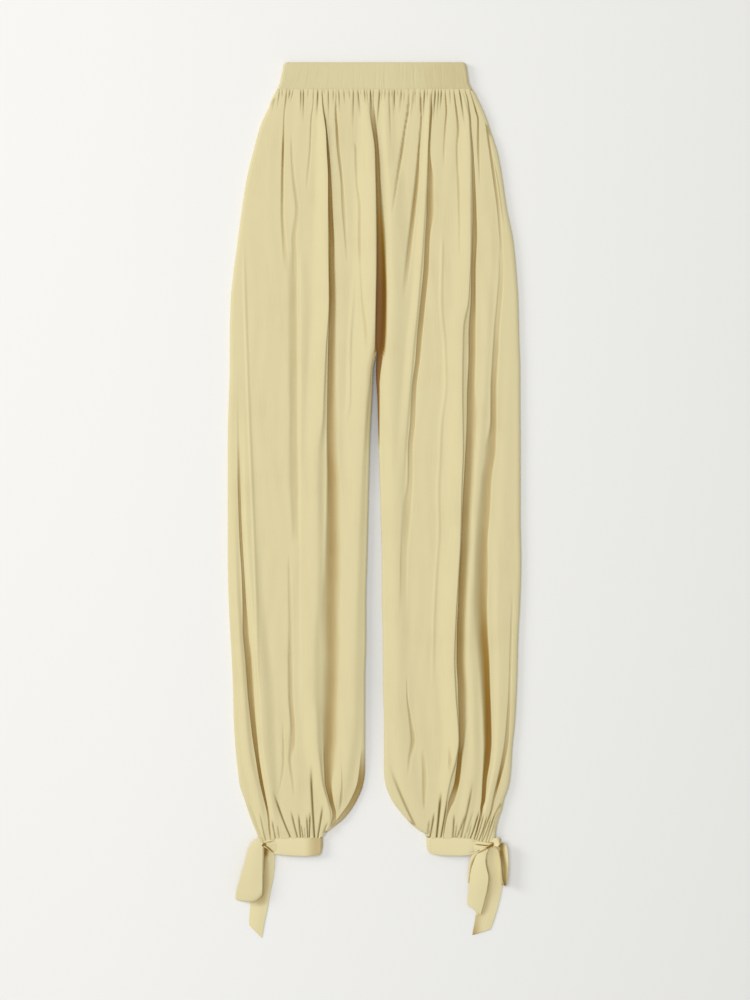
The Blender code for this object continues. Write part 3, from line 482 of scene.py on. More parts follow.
rightFolds = {
    "centreRise": [
        (541, 14, 0.3, 6, 14), (480, 16, 1.6, 8, 18), (400, 22, 2.6, 12, 22), (265, 25, 2.8, 12, 24),
        (172, 22, 2.4, 14, 22), (26, 26, 2, 16, 20), (-130, 29, 2, 18, 20), (-300, 33, 2, 18, 22),
        (-380, 44, 1.6, 16, 20), (-430, 70, 0, 14, 14)],
    "diagonalCrease": [
        (541, 45.2, -1.2, 1.3, 1.5, 0.4), (524, 44.8, -1.8, 1.4, 2, 0.5), (514, 44, -2, 1.8, 2.4, 0.55),
        (490, 40, -2, 2, 2.6, 0.5), (463, 36, -2, 2.6, 4, 0.5), (424, 30, -1.4, 2.4, 2.6, 0.3),
        (396, 26, -0.8, 3, 3, 0.15), (375, 22, 0, 3, 3)],
    "innerCrease": [
        (541, 60.4, -1.2, 1.3, 1.4, 0.3), (530, 61, -1.8, 1.3, 1.6, 0.7), (514, 61.4, -1.9, 1.4, 1.7, 0.6),
        (503, 61.8, -1.8, 1.4, 1.8, 0.5), (490, 60.6, -1.6, 1.6, 3.6, 0.35),
        (463, 58.6, -2.4, 2, 2.4, 0.68), (424, 56, -2.4, 4.4, 4.4, 0.56), (384, 52, -2.2, 6, 4.6, 0.6),
        (344, 47.6, -1.7, 6.6, 4.6, 0.44), (305, 42.8, -0.9, 6, 5.4, 0.22), (265, 38, 0, 4, 6)],
    "frontLip": [
        (541, 71, 0.4, 4, 2), (500, 70, 1.2, 7, 2.2), (424, 66.6, 1.5, 9, 2.6), (331, 61, 1.7, 10, 3),
        (265, 55.6, 1.7, 10, 3), (199, 50, 1.6, 11, 4), (92, 41, 1, 11, 4), (0, 34, 0, 10, 5)],
    "frontTrench": [
        (541, 76.4, -1, 1.3, 1.6, 0.3), (530, 75, -2, 1.4, 1.8, 0.5), (514, 75, -2.8, 1.8, 2.6, 0.8),
        (503, 74.2, -2.9, 1.8, 2.8, 0.72), (490, 73.2, -2.8, 1.7, 3, 0.68), (463, 71.8, -2.8, 2.2, 3, 0.6),
        (424, 71.6, -3, 3, 10, 0.6), (384, 71.6, -3.2, 5.6, 10.4, 0.6), (344, 69.6, -3.2, 5.8, 6, 0.6),
        (305, 67.8, -3.1, 6, 6.6, 0.6), (265, 64, -3.1, 6.4, 6.4, 0.62), (225, 60, -2.9, 6.4, 6.6, 0.56),
        (185, 56.6, -2.6, 5, 6, 0.52), (146, 52.4, -2.4, 6.6, 5, 0.44), (106, 51, -2, 7.4, 5.4, 0.34),
        (66, 47.4, -1.8, 6.6, 6, 0.25), (26, 48, -1.5, 8, 5, 0.18), (-13, 44, -1.2, 11, 8, 0.12),
        (-93, 38, -1, 8, 9, 0.1), (-150, 38, 0, 9, 9)],
    "lowCrease": [
        (-230, 43, 0, 2, 2), (-252, 43, -0.8, 2, 2, 0.1), (-291, 47.4, -1.3, 3.4, 3.4, 0.22),
        (-318, 50.4, -1.4, 5, 6, 0.24), (-344, 46.4, -0.9, 4.4, 3.4, 0.14), (-365, 45, 0, 4, 3)],
    "lowCreaseTwo": [
        (-330, 64, 0, 4, 4), (-344, 64.6, -0.9, 4, 5, 0.13), (-371, 66.6, -1.3, 7, 4, 0.24),
        (-397, 66, -1, 4, 3, 0.18), (-410, 66, 0, 3, 3)],
    "lowCreaseThree": [(-325, 98, 0, 3, 3), (-344, 98.8, -1.1, 4, 4, 0.2), (-362, 98, 0, 4, 4)],
    "mainLip": [
        (541, 114, 0.4, 7, 2), (500, 122.6, 1.2, 12, 2.4), (424, 124.6, 2.2, 18, 3.2),
        (344, 124.4, 3, 24, 3), (265, 121.4, 3.4, 26, 3), (225, 115, 3.4, 26, 3.4),
        (146, 113.6, 3.8, 28, 3.4), (66, 114, 4.2, 28, 3), (26, 112.4, 4.4, 28, 3),
        (-53, 110.4, 4.8, 26, 2.8), (-93, 108.2, 5, 26, 2.8), (-172, 103.6, 5.2, 24, 3),
        (-212, 102.6, 5.2, 24, 3.2), (-252, 104.2, 5.4, 22, 3.2), (-318, 108, 5.4, 22, 3),
        (-344, 104.4, 5.2, 20, 3), (-371, 97, 4.2, 16, 3), (-397, 92.4, 2.6, 10, 3), (-415, 91, 1, 7, 3),
        (-435, 89, 0, 6, 2)],
    "mainTrench": [
        (541, 119.6, -1.2, 1.2, 1.3, 0.4), (530, 123, -1.9, 1.4, 1.6, 0.55),
        (514, 125.2, -2.4, 1.5, 1.9, 0.58), (503, 126.4, -2.6, 1.5, 2, 0.5), (490, 127, -2.8, 1.5, 2, 0.45),
        (463, 129.2, -3.2, 1.8, 2.4, 0.5), (424, 130.6, -3.8, 3, 4, 0.56), (384, 131.6, -4.2, 4, 5, 0.6),
        (344, 130.6, -4.4, 3, 8, 0.6), (305, 129.4, -4.4, 2.8, 7, 0.62), (265, 129.2, -4.4, 4, 7.6, 0.62),
        (225, 128, -4.4, 7, 9, 0.56), (185, 127.4, -4.4, 6, 9.6, 0.56), (146, 126, -4.4, 7, 10.6, 0.58),
        (106, 125, -4.4, 6, 14, 0.54), (66, 122.8, -4.4, 5, 14, 0.62), (26, 120.6, -4.4, 5, 14, 0.62),
        (-13, 118.2, -4.4, 4, 13.6, 0.66), (-53, 116.4, -4.4, 3.4, 14, 0.7),
        (-93, 113.8, -4.4, 3, 13.6, 0.78), (-132, 112.2, -4.6, 3, 13, 0.8),
        (-172, 111.2, -4.6, 4.6, 12.4, 0.82), (-212, 111.2, -4.6, 5.4, 12, 0.8),
        (-252, 113.4, -4.6, 6, 12, 0.74), (-291, 113.2, -4.6, 3.4, 12, 0.74),
        (-318, 113, -4.6, 2.4, 9.4, 0.72), (-344, 111.4, -4.2, 4, 6.4, 1), (-371, 109, -4, 6, 6, 0.95),
        (-397, 101, -3.4, 6, 8.4, 0.55), (-408, 98, -2.6, 3, 4, 0.55), (-418, 95.2, -2, 2, 2.6, 0.45),
        (-433, 92.6, -1.6, 1.6, 1.8, 0.5), (-446, 91, -1.4, 1.5, 1.6, 0.3)],
    "outerLip": [
        (420, 152, 0, 10, 10), (331, 153, 0.6, 14, 9), (199, 147, 0.8, 12, 8), (89, 141, 0.9, 9, 9),
        (26, 134.6, 1, 9, 10), (-86, 129.2, 1.3, 9, 10), (-139, 126.4, 1.5, 9, 10),
        (-225, 127.4, 1.6, 9, 12), (-285, 130, 1.6, 9, 12), (-348, 130, 1.4, 11, 12),
        (-393, 124, 1.2, 12, 12), (-436, 116, 0, 10, 10)],
    "outerTrench": [
        (340, 168, 0, 6, 5), (305, 167.6, -0.7, 6, 6, 0.1), (265, 165, -1, 7, 7, 0.2),
        (225, 161.4, -1.4, 7, 7.4, 0.24), (185, 159.6, -1.8, 8, 7, 0.34), (146, 157, -2.1, 7, 7.4, 0.46),
        (106, 156.8, -2.4, 7, 7.6, 0.46), (66, 155.6, -2.8, 12.4, 8, 0.45), (26, 150.2, -3.4, 12, 8, 0.47),
        (-13, 148, -3.8, 13, 8, 0.46), (-53, 145.4, -4, 14, 7, 0.52), (-93, 143.8, -4.2, 13.6, 10, 0.6),
        (-132, 143.6, -4.4, 14, 8.6, 0.68), (-172, 145, -4.5, 14, 7.6, 0.82),
        (-212, 147.8, -4.6, 13, 7, 0.94), (-252, 149.8, -4.6, 12, 5.6, 1.04),
        (-291, 151, -4.6, 11, 5.8, 1.12), (-318, 151.2, -4.6, 10.4, 6.4, 1.14),
        (-344, 149.4, -4.6, 9, 6, 1.1), (-371, 146.2, -4.2, 7, 4, 0.9), (-397, 144, -3.6, 5.4, 4, 0.97),
        (-408, 141.4, -3, 3, 3, 0.95), (-418, 140.8, -2.2, 2, 2.2, 0.4), (-426, 138.2, -2, 2, 2, 0.55),
        (-433, 136, -1.8, 1.8, 2, 0.5), (-446, 132, -1.4, 1.6, 1.6, 0.35)],
    "sideRidge": [
        (250, 180, 0, 8, 8), (110, 176, 0.3, 12, 10), (26, 172, 0.6, 14, 14), (-79, 166, 0.9, 12, 20),
        (-139, 164, 1.1, 10, 22), (-225, 166, 1.2, 10, 20), (-285, 165, 1.2, 8, 18),
        (-327, 163, 1.2, 6, 14), (-393, 151.4, 1.4, 4, 12), (-436, 141, 0, 4, 10)],
    "sideCrease": [
        (-120, 183, 0, 3, 3), (-165, 181.2, -0.7, 3, 3, 0.08), (-252, 178.6, -1, 3, 3.4, 0.12),
        (-291, 177, -1.6, 5, 3.4, 0.26), (-318, 175, -1.9, 6, 5, 0.36), (-344, 170.2, -2.2, 5, 5.4, 0.56),
        (-371, 164.2, -2.4, 4.4, 3.4, 0.85), (-397, 157.2, -1.8, 2.6, 3, 0.4),
        (-408, 155, -1.7, 2.2, 2.6, 0.45), (-418, 152, -1.8, 2.2, 2.6, 0.55),
        (-426, 148.6, -1.7, 1.9, 2, 0.52), (-433, 145.4, -1.5, 1.8, 1.8, 0.45),
        (-446, 141, -1.2, 1.6, 1.6, 0.3)],
    "sideCreaseTwo": [
        (-350, 182, 0, 2.6, 2.6), (-371, 178, -1.4, 3.4, 4, 0.42), (-397, 169.6, -1.4, 3, 3.4, 0.3),
        (-408, 163.4, -1.4, 2.4, 2.8, 0.3), (-418, 158.4, -1.3, 2.2, 2.4, 0.34),
        (-426, 155, -1.2, 2, 2.2, 0.25), (-434, 151, -1, 2, 2, 0.18), (-446, 147, 0, 2, 2)],
    "pressedCrease": [
        (350, 89.8, 0, 4, 3), (331, 89.4, 0.8, 4, 3), (265, 88.1, 0.9, 4, 3), (199, 93, 0.9, 4, 3),
        (155, 94, 0.9, 4, 3), (99, 88.1, 0.9, 4, 3), (56, 86.3, 0.8, 4, 3), (7, 84.1, 0.8, 4, 3),
        (-37, 85.1, 0.8, 4, 3), (-93, 81.8, 0.8, 4, 3), (-159, 78.5, 0.8, 4, 3), (-214, 77.5, 0.6, 4, 3),
        (-250, 77, 0, 4, 3)],
    "hipFanOne": [
        (541, 93.6, -1.2, 1.3, 1.5, 0.35), (530, 94, -1.6, 1.3, 1.8, 0.58), (514, 95, -1.6, 1.5, 2, 0.58),
        (503, 94.4, -1.4, 1.8, 2, 0.45), (490, 93.4, -1, 2.4, 3, 0.28), (463, 92.2, -0.8, 2.4, 2.6, 0.16),
        (440, 92, 0, 2, 3)],
    "hipFanTwo": [
        (541, 105, -1.3, 1.3, 1.4, 0.4), (530, 106.2, -1.7, 1.4, 1.6, 0.65),
        (514, 108.2, -1.7, 1.8, 2.4, 0.58), (490, 111, -1.3, 3.6, 2.4, 0.34),
        (463, 109.2, -0.9, 3, 2.4, 0.2), (424, 111, -0.9, 3.4, 2.4, 0.2), (384, 112, -0.8, 3, 2.4, 0.15),
        (344, 112.2, -0.6, 1.6, 2, 0.1), (320, 112, 0, 2, 2)],
    "hipFanThree": [
        (541, 126, -1.3, 1.3, 1.4, 0.45), (530, 129.6, -1.5, 1.3, 1.6, 0.4),
        (524, 131.4, -1.8, 1.4, 1.8, 0.5), (514, 134, -2.2, 1.6, 2.2, 0.75),
        (503, 136.8, -2, 1.7, 2.2, 0.6), (490, 137.2, -1.8, 2.4, 2, 0.5), (463, 137.4, -1.4, 3, 2.6, 0.34),
        (440, 138.4, -0.8, 2, 2.4, 0.15), (415, 139.5, 0, 2, 3)],
    "hipFanFour": [
        (541, 131, -0.8, 1.2, 1.4, 0.2), (530, 136, -1.4, 1.3, 1.6, 0.5), (524, 138.4, -1.5, 1.4, 1.7, 0.5),
        (514, 143, -1.6, 1.6, 2, 0.5), (503, 146.4, -1.3, 1.8, 2.2, 0.4),
        (490, 148.8, -1.6, 2.2, 2.6, 0.45), (463, 152.6, -1.6, 2.4, 3, 0.45),
        (424, 158.2, -1.6, 3, 3.6, 0.4), (384, 163.6, -1.2, 3, 3.6, 0.24), (344, 167, -0.8, 3, 3.4, 0.12),
        (320, 168, 0, 3, 4)],
    "hipFanFive": [
        (452, 157.6, 0, 2, 2), (424, 163.2, -0.6, 2.2, 2.4, 0.16), (390, 168.2, -0.5, 2.6, 2.6, 0.12),
        (360, 172.4, 0, 3, 3)],
}

# The gathers at the waist: x at the seam, x where it fades, how far down, painted darkness, half width.
leftWaist = [
    (-129.4, -136.6, 34, 0.45, 1.3), (-125.2, -128.6, 30, 0.28, 1.2), (-121.8, -121, 13, 0.26, 1.1),
    (-111.4, -113.4, 16, 0.52, 1.3), (-107, -111.4, 20, 0.22, 1.1), (-97.2, -97, 36, 0.5, 1.2),
    (-93.6, -94, 46, 0.55, 1.3), (-87.2, -87.4, 13, 0.2, 1.1), (-74.6, -76.2, 42, 0.58, 1.3),
    (-66, -65.6, 7, 0.25, 1), (-60.8, -60, 46, 0.42, 1.2), (-54, -54.2, 22, 0.36, 1.1),
    (-47, -45, 34, 0.48, 1.2), (-40.2, -38.6, 22, 0.4, 1.2), (-36.2, -36, 7, 0.2, 1),
    (-33.2, -32, 15, 0.45, 1.1), (-27.4, -28.6, 58, 0.52, 1.3), (-21.8, -18, 42, 0.5, 1.3),
    (-17.8, -17, 9, 0.16, 1), (-13, -12.2, 22, 0.5, 1.2), (-9.8, -9, 22, 0.24, 1),
    (-5.2, -4.2, 40, 0.78, 1.2)]
rightWaist = [
    (-0.6, -2, 20, 0.22, 1), (7.1, 3.2, 58, 0.62, 1.3), (10.4, 9, 20, 0.26, 1), (14.6, 13.4, 17, 0.42, 1.1),
    (19.5, 21.8, 84, 0.4, 1.2), (23.4, 24.2, 14, 0.3, 1), (26.6, 25.8, 38, 0.8, 1.2),
    (31, 30.6, 12, 0.24, 1), (36, 32.4, 36, 0.48, 1.3), (39.4, 39, 22, 0.32, 1.1),
    (52.6, 48, 42, 0.42, 1.2), (54.6, 53.6, 26, 0.3, 1), (66.6, 64, 44, 0.66, 1.2), (70.4, 70, 20, 0.28, 1),
    (80.6, 78, 46, 0.66, 1.3), (85, 83, 40, 0.5, 1.2), (88.8, 86.8, 32, 0.64, 1.2),
    (99.6, 101.6, 26, 0.3, 1.1), (112.4, 120.4, 54, 0.7, 1.3)]

# The gathers at the cuff: x and y where it starts, x at the cuff, painted darkness, half width.
leftCuffGathers = [
    (-169, -390, -147.6, 0.1, 1.8), (-152, -410, -143.4, 0.2, 1.2), (-135.4, -420, -130.8, 0.34, 1.1),
    (-128, -428, -125.4, 0.2, 1), (-134, -382, -111, 0.52, 1.4), (-110.4, -408, -101.6, 0.48, 1.2),
    (-100, -412, -97.6, 0.52, 1.1), (-97.2, -427, -94.2, 0.45, 0.9), (-92.4, -430, -91.4, 0.15, 0.8),
    (-89.4, -414, -88, 0.55, 1), (-85, -410, -86, 0.68, 1), (-84.6, -345, -79.2, 0.66, 1.5),
    (-68, -400, -74.8, 0.52, 1.3), (-62, -424, -69.4, 0.3, 1.1)]
rightCuffGathers = [
    (19.2, -348, 62, 0.3, 2), (73, -420, 69.8, 0.3, 1.2), (79.6, -410, 73.4, 0.55, 1.2),
    (88, -382, 82.2, 0.8, 1.5), (96.4, -390, 88, 0.52, 1.3), (105.8, -412, 103.6, 0.55, 1.1),
    (109.4, -425, 106.4, 0.32, 0.9), (121.4, -412, 109.2, 0.5, 1.1), (130.4, -370, 114.6, 0.48, 1.4),
    (131.4, -408, 119.4, 0.28, 0.9), (129, -424, 123.4, 0.26, 0.8), (139.4, -408, 126.8, 0.66, 1),
    (142.4, -406, 131.6, 0.4, 0.8), (146.4, -410, 134.6, 0.34, 0.8), (150.4, -414, 138, 0.42, 0.9),
    (156, -416, 142.6, 0.34, 0.8), (160, -412, 147, 0.22, 0.8), (168, -400, 150.6, 0.1, 1.4)]

# How far the lower edge hangs below the cuff's top near the knot: x, drop.
leftLow = [
    (-154, 5.4), (-146, 4.6), (-138, 2.6), (-130, 0.8), (-124, 0), (-60, 0)]
rightLow = [
    (60, 0), (116, 0), (124, 0.8), (132, 2.6), (142, 5), (150, 7.2), (160, 9)]

# "guides" are the lines that the grid's columns follow: the fold, a shift in x, and how many columns lie
# between it and the next one. "lips" lean over their troughs by so much.
leftLeg = {"side": "left", "name": "frontLeft", "node": "front_left", "folds": leftFolds, "waist": leftWaist,
           "cuff": leftCuffGathers, "low": leftLow, "seed": 4, "lips": {"mainLip": 1.8, "centreSwell": 1.6},
           "guides": [("outer", 0, 36), ("sideTrench", 0, 76), ("mainTrench", -2, 62), ("inner", 0, 0)]}
rightLeg = {"side": "right", "name": "frontRight", "node": "front_right", "folds": rightFolds,
            "waist": rightWaist, "cuff": rightCuffGathers, "low": rightLow, "seed": 9,
            "lips": {"mainLip": 1.0, "outerLip": 0.6, "frontLip": 0.6},
            "guides": [("inner", 0, 46), ("frontTrench", 0, 50), ("mainTrench", -1, 28),
                       ("outerTrench", 0, 50), ("outer", 0, 0)]}

# Edge of the fold that hides the centre seam, and how far the shadow painted to its right reaches: y, x, x.
centreEdge = [
    (545, -6.4, -4), (520, -6.2, -3), (503, -5, -2), (490, -3.2, 0), (463, 0.2, 4), (424, 1.2, 7.4),
    (384, 2, 11.4), (344, 2.4, 15), (305, 2.2, 16), (265, 1.4, 16.6), (225, 0.8, 16.4), (185, 0.4, 14)]
# Below the crotch the painted shadow narrows to a painted dark edge of the right leg: y, how far it reaches
# in, darkness.
crotchEdge = [
    (216, 9.8, 0), (206, 9.4, 1.38), (196, 8.6, 1.38), (186, 7.8, 1.38), (178, 7.2, 1.38), (172, 6.4, 1.38),
    (163, 5.2, 1.38), (150, 3.8, 1.38), (138, 3, 1.36), (110, 2, 1.3), (90, 1.5, 1.1), (66, 0.9, 0)]
# The fold over the centre seam: it sets in below the waist, its painted shade darkens further down, and the
# shadow painted on the right leg turns from soft to sharp.
centreFold = {"height": 2.8, "below": 4, "setsIn": 60, "topDark": 0.55, "darkFrom": 470, "darkOver": 230,
              "sharp": 0.6, "sharpFrom": 400, "sharpOver": 130, "reachLeast": 2.5}
# Painted shade: a faint dark rim along the left leg's inner edge below the crotch.
innerRimShade = {"dark": 0.22, "top": 260, "topBlend": 60, "foot": 40, "footBlend": 90, "reach": 5}
# Rows are this far apart at each y: close in the gathers, wide along the legs.
rowGaps = [(542, 1.0), (500, 1.5), (470, 3.6), (420, 4.8), (-330, 4.8), (-380, 2.4), (-405, 1.3), (-446, 1.0)]


def rowHeights():
    # y of every row, spaced by the running sum of 1 / gap.
    fine = np.linspace(panel["waist"], panel["cuff"], 6000)
    density = 1 / np.interp(fine[::-1], [s[0] for s in rowGaps[::-1]], [s[1] for s in rowGaps[::-1]])[::-1]
    run = np.concatenate([[0], np.cumsum((density[1:] + density[:-1]) / 2 * -np.diff(fine))])
    return np.interp(np.linspace(0, run[-1], int(run[-1])), run, fine)


def foldColumns(rows, y):
    # A fold's line, height, two reaches and painted darkness at each y; a row without a darkness has none.
    table = [(*row, 0)[:6] for row in rows]
    return [columnAt(table, y, k) for k in range(1, 6)]


def foldHeight(leg, x, y):
    # Sum of every fold's hump, how far the lips lean over their troughs, and how much shade is painted into
    # the troughs.
    height, lean, shade = np.zeros_like(x), np.zeros_like(x), np.zeros_like(x)
    form = foldForm
    for name, rows in leg["folds"].items():
        line, rise, left, right, darkness = foldColumns(rows, y)
        if name in leg["lips"]:
            line = line + form["lipStep"] * np.clip((form["sharp"] - right) / form["sharpBlend"], 0, 1)
        reach = np.where(x < line, left, right)
        steep = np.clip((form["narrow"] - reach) / form["narrowBlend"], 0, 1) * (rise < 0)
        share = hump(x - line, left * (1 - form["tighterLeft"] * steep),
                     right * (1 - form["tighterRight"] * steep))
        share = share + (easeIn(form["flat"] * share) - share) * steep
        height += np.where(rise < 0, form["depth"], 1) * rise * share
        shade = np.maximum(shade, form["shade"] * darkness * share)
        if name in leg["lips"]:
            lean += leg["lips"][name] * share * np.clip(rise / form["lipRise"], 0, 1)
    return height, lean, shade


def waistGathers(leg, x, y):
    # Narrow troughs, each a bell across a slanting line, that start at the waist seam and die away downwards,
    # with small puffs between them and shade painted into them.
    down = panel["waist"] - y
    dip, shade = np.zeros_like(x), np.zeros_like(x)
    form = waistForm
    for seamX, endX, reach, darkness, width in leg["waist"]:
        share = np.clip(down / reach, 0, 1)
        line = seamX + (endX - seamX) * share
        fade = (1 - easeIn(share)) * np.clip(form["start"] + down / form["full"], 0, 1)
        wave = fade * bell((x - line) / (form["width"] * width * (form["narrow"] + form["wider"] * share)))
        dip -= (form["dip"] + form["deeper"] * darkness) * wave
        shade = np.maximum(shade, form["shade"] * darkness * wave)
    return dip, bell(down / form["puffReach"]), shade


def cuffGathers(leg, x, y):
    # Narrow troughs, each a bell across a slightly bent line, that deepen down into the cuff seam, with small
    # puffs between them and shade painted into them.
    dip, shade = np.zeros_like(x), np.zeros_like(x)
    form = cuffForm
    for startX, startY, endX, darkness, width in leg["cuff"]:
        share = np.clip((startY - y) / (startY - panel["cuff"]), 0, 1)
        line = startX + (endX - startX) * ((1 - form["curve"]) * share + form["curve"] * share ** 2)
        across = form["width"] * width * (form["wide"] - form["narrower"] * share)
        wave = easeIn(share * form["start"]) * bell((x - line) / across)
        dip -= (form["dip"] + form["deeper"] * darkness) * wave
        shade = np.maximum(shade, form["shade"] * darkness * wave)
    return dip, form["puff"] * bell((y - panel["cuff"] - form["puffAt"]) / form["puffReach"]), shade


def wander(seed, x, y):
    # A few long sine waves of uneven direction added together: the cloth is never quite even.
    chance = np.random.default_rng(seed)
    total = np.zeros_like(x)
    for size in panel["wander"]:
        a, b, c = chance.uniform(-1, 1, 3)
        bend = 2.2 * np.sin(2 * np.pi * (y / 310 + c))
        total += np.sin(2 * np.pi * (x / size + y / (size * 7) * a + b) + bend)
    return panel["wanderRise"] * total / len(panel["wander"])


def legEdges(side, y):
    # x of a leg's two edges, which way the inner one lies, and how far the legs are joined there.
    outer = through(outline["y"], outline[side + "Outer"], y)
    inner = through(outline["y"], outline[side + "Inner"], y)
    towards = 1.0 if inner[0] > outer[0] else -1.0
    return outer, inner, towards, easeIn((y - panel["crotch"]) / panel["crotchBlend"])


def columnPlaces(leg, ends, y):
    # x of every column: the guides run down the panel in their order, and between two of them the columns are
    # evenly spread, a little closer near the guides.
    lines = [ends[name] if name in ends else foldColumns(leg["folds"][name], y)[0] + shift
             for name, shift, count in leg["guides"]]
    lines = np.array(lines)
    last = len(lines) - 1
    low, high = np.minimum(lines[0], lines[-1]), np.maximum(lines[0], lines[-1])
    room = (high - low) / (len(lines) * panel["leastRoom"])
    for k in range(1, last):
        lines[k] = np.clip(lines[k], low + room * k, high - room * (last - k))
    places = []
    for k, (name, shift, count) in enumerate(leg["guides"][:-1]):
        steps = int(count * panel["columns"])
        share = np.arange(steps) / steps
        places.append(k + share - panel["bunching"] * np.sin(2 * np.pi * share))
    place = np.append(np.concatenate(places), last)
    k = np.clip(place.astype(int), 0, last - 1)
    x = (lines[k] * (1 - (place - k))[:, None] + lines[k + 1] * (place - k)[:, None]).T
    return x, low[:, None], high[:, None]


def centreShadow(x, y, yy, inner, towards, joined):
    # How far each leg's cloth falls to the centre seam, and how much shade is painted under the fold there.
    edge, shadow = (columnAt(centreEdge, y, k)[:, None] for k in (1, 2))
    form = centreFold
    deepening = joined[:, None] * easeIn((panel["waist"] - form["below"] - yy) / form["setsIn"])
    lower = easeIn((form["darkFrom"] - yy) / form["darkOver"])
    deepest = dark["centre"] * (form["topDark"] + (1 - form["topDark"]) * lower) * deepening
    if towards > 0:
        return easeIn((x - edge + 1.6) / 2.2) * deepening, deepest * easeIn((x - edge + 0.6) / 1.4)
    share = (x - inner[:, None]) / np.maximum(shadow - inner[:, None] + 1, form["reachLeast"])
    plateau = form["sharp"] * easeIn((form["sharpFrom"] - yy) / form["sharpOver"])
    return (1 - easeIn(share)) * deepening, deepest * (1 - easeIn((share - plateau) / (1 - plateau)))


def frontPanel(leg):
    # The panel's top is its plain height with a low crown, plus its folds, gathers and a slight unevenness.
    # Each side is half a turn down to the back panel.
    y = rowHeights()
    outer, inner, towards, joined = legEdges(leg["side"], y)
    innerRoll = panel["roll"] * (1 - joined)
    ends = {"outer": outer + towards * panel["roll"], "inner": inner - towards * innerRoll}
    x, low, high = columnPlaces(leg, ends, y)
    yy = np.repeat(y[:, None], x.shape[1], axis=1)

    folds, lean, shade = foldHeight(leg, x, y[:, None])
    across = np.clip((x - low) / (high - low), 0, 1)
    height = panel["plain"] + panel["crown"] * np.sin(np.pi * across) ** 0.5 + folds
    eased = [easeIn(share * panel["edgeEase"]) for share in (across, 1 - across)]
    height += wander(leg["seed"], x, yy) * eased[0] * eased[1]
    dips, lap, pinch = [], np.zeros_like(x), np.zeros_like(x)
    for dip, puff, dipShade in (waistGathers(leg, x, y[:, None]), cuffGathers(leg, x, y[:, None])):
        height += dip + puff
        dips.append(dip)
        pinch = np.maximum(pinch, dipShade)
    above = (height - panel["lowest"]) * panel["lowSharp"]    # troughs level out softly at the lowest height
    height = panel["lowest"] + np.logaddexp(0, above) / panel["lowSharp"]

    # The puffs between the gathers lap a little over the edge of the band and of the cuff.
    for away, dip, side in ((panel["waist"] - yy, dips[0], 1), (yy - panel["cuff"], dips[1], -1)):
        near = 1 - easeIn(away / panel["seamReach"])
        height = height + (panel["seamRise"] + dip - height) * near
        between = np.clip(1 + dip / panel["lapDip"], 0, 1)
        lap = lap + side * panel["lap"] * between * (1 - easeIn(away / panel["lapReach"]))
    fall, centreShade = centreShadow(x, y, yy, inner, towards, joined)
    shade = np.maximum(shade, centreShade)
    height = height + (centreFold["height"] - height) * fall
    lean = lean * (1 - 0.6 * fall) * easeIn((panel["waist"] - yy) / 12) * easeIn((yy - panel["cuff"]) / 12)

    # Half a turn round each side, down to the surface; where the legs are joined it only tucks in a little.
    turn = np.linspace(0, np.pi, panel["rollSteps"] + 1)[1:]
    innerAt, outerAt = (-1, 0) if towards > 0 else (0, -1)

    def rolled(edgeX, side, reach, top, flat):
        x2 = edgeX[:, None] + side * reach[:, None] * (1 - np.sin(turn))
        z2 = top[:, None] / 2 * (1 + np.cos(turn))
        tucked = edgeX[:, None] + np.zeros(len(turn))
        down = top[:, None] - 0.5 * turn / np.pi
        flat = flat[:, None]
        return x2 * (1 - flat) + tucked * flat, z2 * (1 - flat) + down * flat

    outerRolled = rolled(outer, towards, np.full_like(y, panel["roll"]), height[:, outerAt], np.zeros_like(y))
    innerRolled = rolled(inner, -towards, innerRoll, height[:, innerAt], joined)

    def around(outerSide, middle, innerSide):
        # Every row of the grid, from left to right: one rolled side, the top, and the other rolled side.
        first, last = (outerSide, innerSide) if towards > 0 else (innerSide, outerSide)
        return np.concatenate([first[:, ::-1], middle, last], axis=1)

    fade = 1 - easeIn(2.2 * turn / np.pi)                     # the painted shade dies away on the outer side
    allX, allZ = (around(outerRolled[k], top, innerRolled[k]) for k, top in enumerate((x + lean, height)))
    allShade, allPinch = (around(v[:, [outerAt]] * fade, v, v[:, [innerAt]] + 0 * fade)
                          for v in (shade, pinch))
    allY = np.repeat(y[:, None], allX.shape[1], axis=1)
    allY[:, len(turn):-len(turn)] += lap
    lowX, drop = np.array(leg["low"], float).T
    allY -= np.interp(allX, lowX, drop) * (1 - easeIn((allY - panel["cuff"]) / panel["lowReach"]))
    inwards = np.abs(allX - inner[:, None])
    if towards < 0:                                           # the painted shadow edge that shows below the crotch
        reach, depth = (columnAt(crotchEdge, y, k)[:, None] for k in (1, 2))
        allShade = np.maximum(allShade, depth * (1 - easeIn((inwards - reach) / 1.6 + 0.5)))
    else:
        # Painted shade along the left leg's inner edge.
        rimShade = innerRimShade["dark"] * easeIn((y - innerRimShade["foot"]) / innerRimShade["footBlend"])
        rimShade = rimShade * easeIn((innerRimShade["top"] - y) / innerRimShade["topBlend"])
        rimShare = easeIn((inwards - innerRimShade["reach"]) / innerRimShade["reach"])
        allShade = np.maximum(allShade, rimShade[:, None] * (1 - rimShare))
    points = np.stack([allX, allY, np.maximum(allZ, panel["floor"])], axis=-1)
    # The "fold" attribute carries the painted shade of the folds, the centre fold and the rims, "pinch" that
    # of the fine gathers.
    values = {"fold": np.minimum(allShade, dark["most"]) ** dark["bend"],
              "pinch": np.minimum(allPinch, dark["pinch"])}
    piece = dress(gridPiece(leg["name"], points, values=values), "panelCloth", leg["node"])
    print(leg["name"], points.shape, "faces", len(piece.data.polygons))
    return piece


frontLeft = frontPanel(leftLeg)
frontRight = frontPanel(rightLeg)

backLook = {"inset": 3.4, "rows": 150, "columns": 110, "creases": 9, "creaseDepth": 0.9, "gathers": 21,
            "gatherDepth": 0.8, "highest": 1.1, "thick": 0.4, "under": 0.05, "shade": 0.5}


